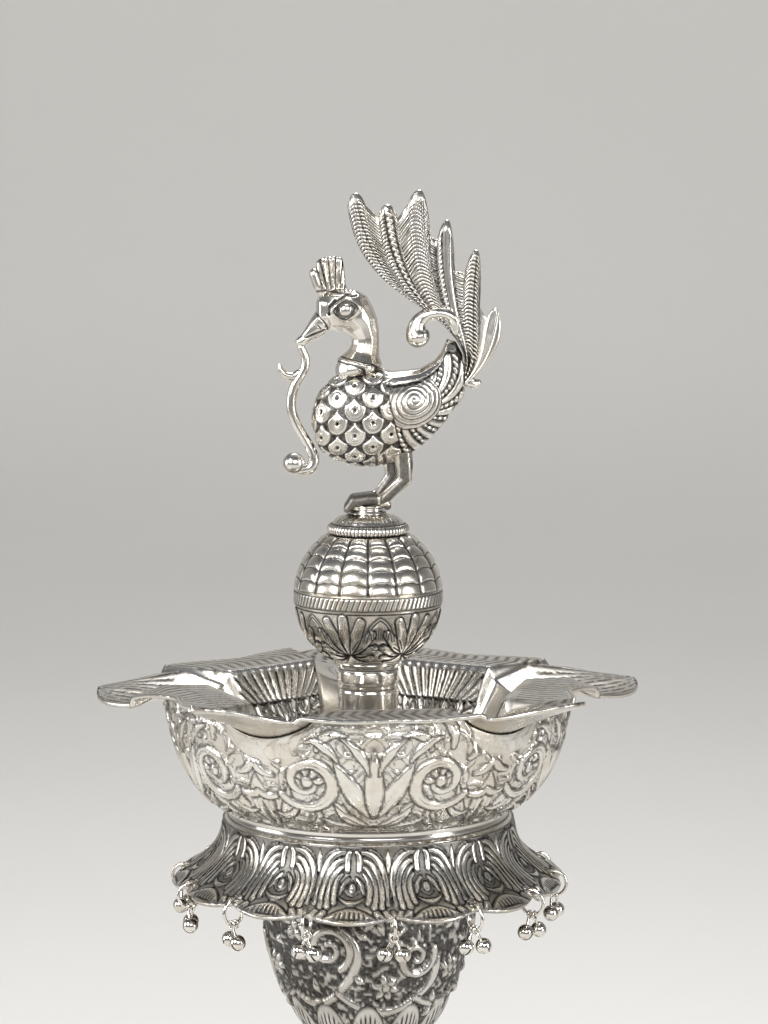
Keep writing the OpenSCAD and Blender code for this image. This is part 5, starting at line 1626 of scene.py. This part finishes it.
def fanLine(k, f):
    s = tailSizes
    root, rise, sweep = (np.array(s[name], float) for name in ("root", "rise", "sweep"))
    tip = np.array(s["tips"][k], float)
    g = 2 * f - 1
    along = tip - (sweep[0] + (sweep[1] - sweep[0]) * (k + 0.5) / plumeCount)
    along /= np.linalg.norm(along)
    across = np.array([along[1], -along[0]])
    notch = s["notch"][k][0 if g < 0 else 1]
    end = tip + across * g * s["halfW"][k] - along * notch * (1 - math.sqrt(1 - 0.98 * g * g))
    t = (k + f) / plumeCount
    return bezier(*(p[0] + (p[1] - p[0]) * t for p in (root, rise, sweep)), end, s["rows"])


# ribs, beads and smooth bands, in the order in which the plumes lie side by side
def plumeRelief(k, g, run, wide):
    across = g * wide / 2
    narrow = 1 - smoothStep(2.2, 3.2, wide)

    def ribs(pitch, middle):
        rib = zigzag((run + 0.5 * np.abs(across - middle)) / pitch)
        return 0.34 * (1 - rib ** 2), smoothStep(0.36, 0.62, rib)

    def beads(pitch, middle, size):
        d = np.hypot((run / pitch % 1 - 0.5) * pitch, across - middle) / size
        return 0.85 * size * roundTop(d), smoothStep(0.85, 1.15, d)

    if k == 0 or k == 4:
        height, dark = ribs(1.15, 0.0)
        dark = np.maximum(dark, lineOn(g - 0.05, 0.07, 0.05))
    elif k == 1:
        height, dark = ribs(1.1, 0.0)
        beadH, beadD = beads(1.75, 0.05 * wide, 0.82)
        row = np.abs(g - 0.1) < 0.42
        height, dark = np.where(row, beadH, height), np.where(row, beadD, dark)
        dark = np.maximum(dark, lineOn(np.abs(g - 0.1) - 0.44, 0.06, 0.05))
    elif k == 2:
        height, dark = ribs(1.1, 0.1 * wide)
        groove = lineOn(g - 0.2, 0.13, 0.07) - 0.8 * lineOn(g - 0.2, 0.03, 0.03)
        height, dark = height - 0.4 * groove, np.maximum(dark * (np.abs(g - 0.2) > 0.14), groove)
    elif k == 3:
        height, dark = ribs(1.0, 0.0)
        beadH, beadD = beads(1.45, -0.33 * wide, 0.66)
        row, band = g < -0.42, (g > -0.36) & (g < 0.4)
        height, dark = np.where(row, beadH, height), np.where(row, beadD, dark)
        smooth = 0.5 * roundTop((g - 0.02) / 0.38)
        height, dark = np.where(band, smooth, height), np.where(band, 0, dark)
        dark = np.maximum(dark, np.maximum(lineOn(g + 0.39, 0.06, 0.04), lineOn(g - 0.4, 0.06, 0.04)))
        dark = np.maximum(dark, lineOn(g - 0.02, 0.05, 0.04))
    else:
        height, dark = np.zeros(g.shape), lineOn(g - 0.25, 0.07, 0.05)
        height = -0.25 * dark
        return height, np.maximum(dark, smoothStep(0.84, 0.92, -g))
    lowH, lowD = beads(1.25, 0.0, 0.46)
    height, dark = height * (1 - narrow) + lowH * narrow, dark * (1 - narrow) + lowD * narrow
    border = smoothStep(0.86, 0.93, np.abs(g)) * ((k > 0) | (g > 0))
    return height * (1 - 0.7 * border), np.maximum(dark, border)


def fanMesh():
    s = tailSizes
    count, rows = plumeCount * s["columns"], s["rows"] + 1
    share = np.linspace(0.06, 0.94, s["columns"])
    lines = np.array([fanLine(k, f) for k in range(plumeCount) for f in share])
    bm = bmesh.new()
    for face in range(2):
        bmesh.ops.create_grid(bm, x_segments=count - 1, y_segments=rows - 1, size=1)
    bm.verts.ensure_lookup_table()
    # the grid's own place tells its column and row
    place = np.array([(v.co.x, v.co.y) for v in bm.verts])
    i = np.round((place[:, 0] + 1) / 2 * (count - 1)).astype(int)
    j = np.round((place[:, 1] + 1) / 2 * (rows - 1)).astype(int)
    front = np.arange(len(i)) < count * rows
    k = np.arange(count) // s["columns"]
    g = np.tile(2 * share - 1, plumeCount)
    height, dark = np.zeros((count, rows)), np.zeros((count, rows))
    for n in range(plumeCount):
        here = k == n
        wide = np.linalg.norm(lines[n * s["columns"]] - lines[(n + 1) * s["columns"] - 1], axis=1)
        middle = runLength(lines[n * s["columns"] + s["columns"] // 2])
        run = middle[-1] - np.broadcast_to(middle, (s["columns"], rows))
        height[here], dark[here] = plumeRelief(n, np.broadcast_to(g[here][:, None], run.shape), run,
                                               np.broadcast_to(wide, run.shape))
    along = np.linspace(0, 1, rows)
    end = smoothStep(0, 0.035, 1 - along) * smoothStep(0, 0.02, along)
    full = np.sqrt(1 - g[:, None] ** 4) * np.sqrt(np.clip(1.02 - (1 - end) ** 2, 0, 1))
    thick = 0.7 + (1.9 - 0.9 * along) * full
    thick = thick + height * end
    for n, v in enumerate(bm.verts):
        line = lines[i[n], j[n]]
        v.co = (line[0], -thick[i[n], j[n]] if front[n] else thick[i[n], j[n]], line[1] + birdZ)
    rim = [e for e in bm.edges if e.is_boundary]
    bmesh.ops.bridge_loops(bm, edges=rim)
    bmesh.ops.recalc_face_normals(bm, faces=bm.faces)
    return newMesh("birdTail", bm), dark[i, j] * end[j]


# a tapered rod along a smooth line in the bird's own plane
def rodMesh(name, points, sides=5):
    curve = bpy.data.curves.new(name, "CURVE")
    curve.dimensions = "3D"
    curve.bevel_depth, curve.bevel_resolution, curve.use_fill_caps = 1.0, sides, True
    line = throughPoints(points, 14 * len(points))
    turns = np.radians(np.linspace(0, 88, 9))[1:]
    for end in (0, -1):  # the ends are round
        near = line[1] if end == 0 else line[-2]
        out = (line[end] - near)[:2] / np.linalg.norm((line[end] - near)[:2])
        r = line[end, 2]
        cap = np.array([[*(line[end, :2] + out * r * math.sin(t)), r * math.cos(t)] for t in turns])
        line = np.vstack([cap[::-1], line]) if end == 0 else np.vstack([line, cap])
    track = curve.splines.new("POLY")
    track.points.add(len(line) - 1)
    for point, (x, z, r) in zip(track.points, line):
        point.co = (x, 0, z + birdZ, 1)
        point.radius = r
    rod = bpy.data.objects.new(name, curve)
    scene.collection.objects.link(rod)
    mesh = bpy.data.meshes.new_from_object(rod.evaluated_get(bpy.context.evaluated_depsgraph_get()))
    bpy.data.objects.remove(rod)
    bpy.data.curves.remove(curve)
    return mesh


def addRods(bm, *rods):
    for rod in rods:
        bm.from_mesh(rod)
        bpy.data.meshes.remove(rod)


def buildBirdTail():
    s = tailSizes
    mesh, dark = fanMesh()
    bm = bmesh.new()
    bm.from_mesh(mesh)
    addRods(bm, rodMesh("tailScroll", s["scroll"], 8), rodMesh("tailBud", s["bud"], 6))
    bm.to_mesh(mesh)
    bm.free()
    co = pointsOf(mesh)
    oxide = np.zeros(len(co))
    oxide[:len(dark)] = dark
    rest = np.arange(len(co)) >= len(dark)
    x, z = co[:, 0], co[:, 2] - birdZ
    spine = throughPoints(s["scroll"], 60)[:, :2]
    near = strokeDistance(x, z, [spine], 30)
    ball = np.hypot(x - s["scroll"][-1][0], z - s["scroll"][-1][1])
    onScroll = rest & (z > s["scrollLow"])
    lines = np.maximum(0.8 * lineOn(near - 1.3, 0.16) * (ball > 3.6), 0.7 * lineOn(ball - 3.2, 0.2))
    oxide = np.where(onScroll, lines, oxide)
    # where the scroll crosses the plumes it stands out on both faces
    co[:, 1] *= np.where(onScroll, 1 + 0.55 * smoothStep(15, 20, x), 1)
    setPoints(mesh, co)
    setOxide(mesh, oxide)
    placePiece(mesh, ["bird_tail"], brightSilver)


# each rod is a row of points: x, z and radius
vineSizes = {"stem": [(-19.2, 45.4, 1.1), (-18, 42.4, 1.25), (-18.2, 39.6, 1.35), (-19.6, 37, 1.4),
                      (-21, 34.6, 1.4), (-22, 31.2, 1.4), (-22, 27.2, 1.4), (-20.6, 23.2, 1.4),
                      (-18.4, 19.4, 1.4), (-16.4, 15.8, 1.5), (-15.6, 13, 1.6), (-16.6, 10.6, 1.7),
                      (-19.2, 9.9, 1.6)],
             "tendril": [(-19.6, 38, 1.3), (-21.4, 37, 1.3), (-23.6, 37.4, 1.15), (-25, 38.9, 0.85),
                         (-25.5, 40.4, 0.5)],
             "berry": [(-21.5, 12.0, 3.1), (-21.2, 12.0, 3.1)]}


def buildVine():
    s = vineSizes
    bm = bmesh.new()
    addRods(bm, rodMesh("vineStem", s["stem"], 8), rodMesh("vineTendril", s["tendril"], 6),
            rodMesh("vineBerry", s["berry"], 12))
    bmesh.ops.recalc_face_normals(bm, faces=bm.faces)
    mesh = newMesh("beakVine", bm)
    co = pointsOf(mesh)
    x, y, z = co[:, 0], co[:, 1], co[:, 2] - birdZ
    # one groove along the face of the rod, one ring on the berry
    along = strokeDistance(x, z, [throughPoints(s[name], 80)[:, :2] for name in ("stem", "tendril")], 30)
    groove = 0.9 * lineOn(along - 0.5, 0.14, 0.12) * (np.abs(y) > 0.5)
    berry = np.hypot(x - s["berry"][0][0], z - s["berry"][0][1])
    oxide = np.where(berry < 3.2, 0.8 * lineOn(berry - 2.5, 0.2), groove)
    setOxide(mesh, oxide)
    placePiece(mesh, ["beak_vine"], brightSilver)


buildBirdBody()
buildBirdHead()
buildBirdTail()
buildVine()
print("bird done")


# the rest keeps its solids and takes a finish: rings and bells bright, fixings steel
for name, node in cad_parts.items():
    if node.hide_render:
        continue
    if name.startswith("bell_"):
        finish = plainSilver
    elif name == "base_plate":
        finish = brightSilver
    else:
        finish = steel
    for spot in node.material_slots:
        spot.material = finish
print("fixings finished")
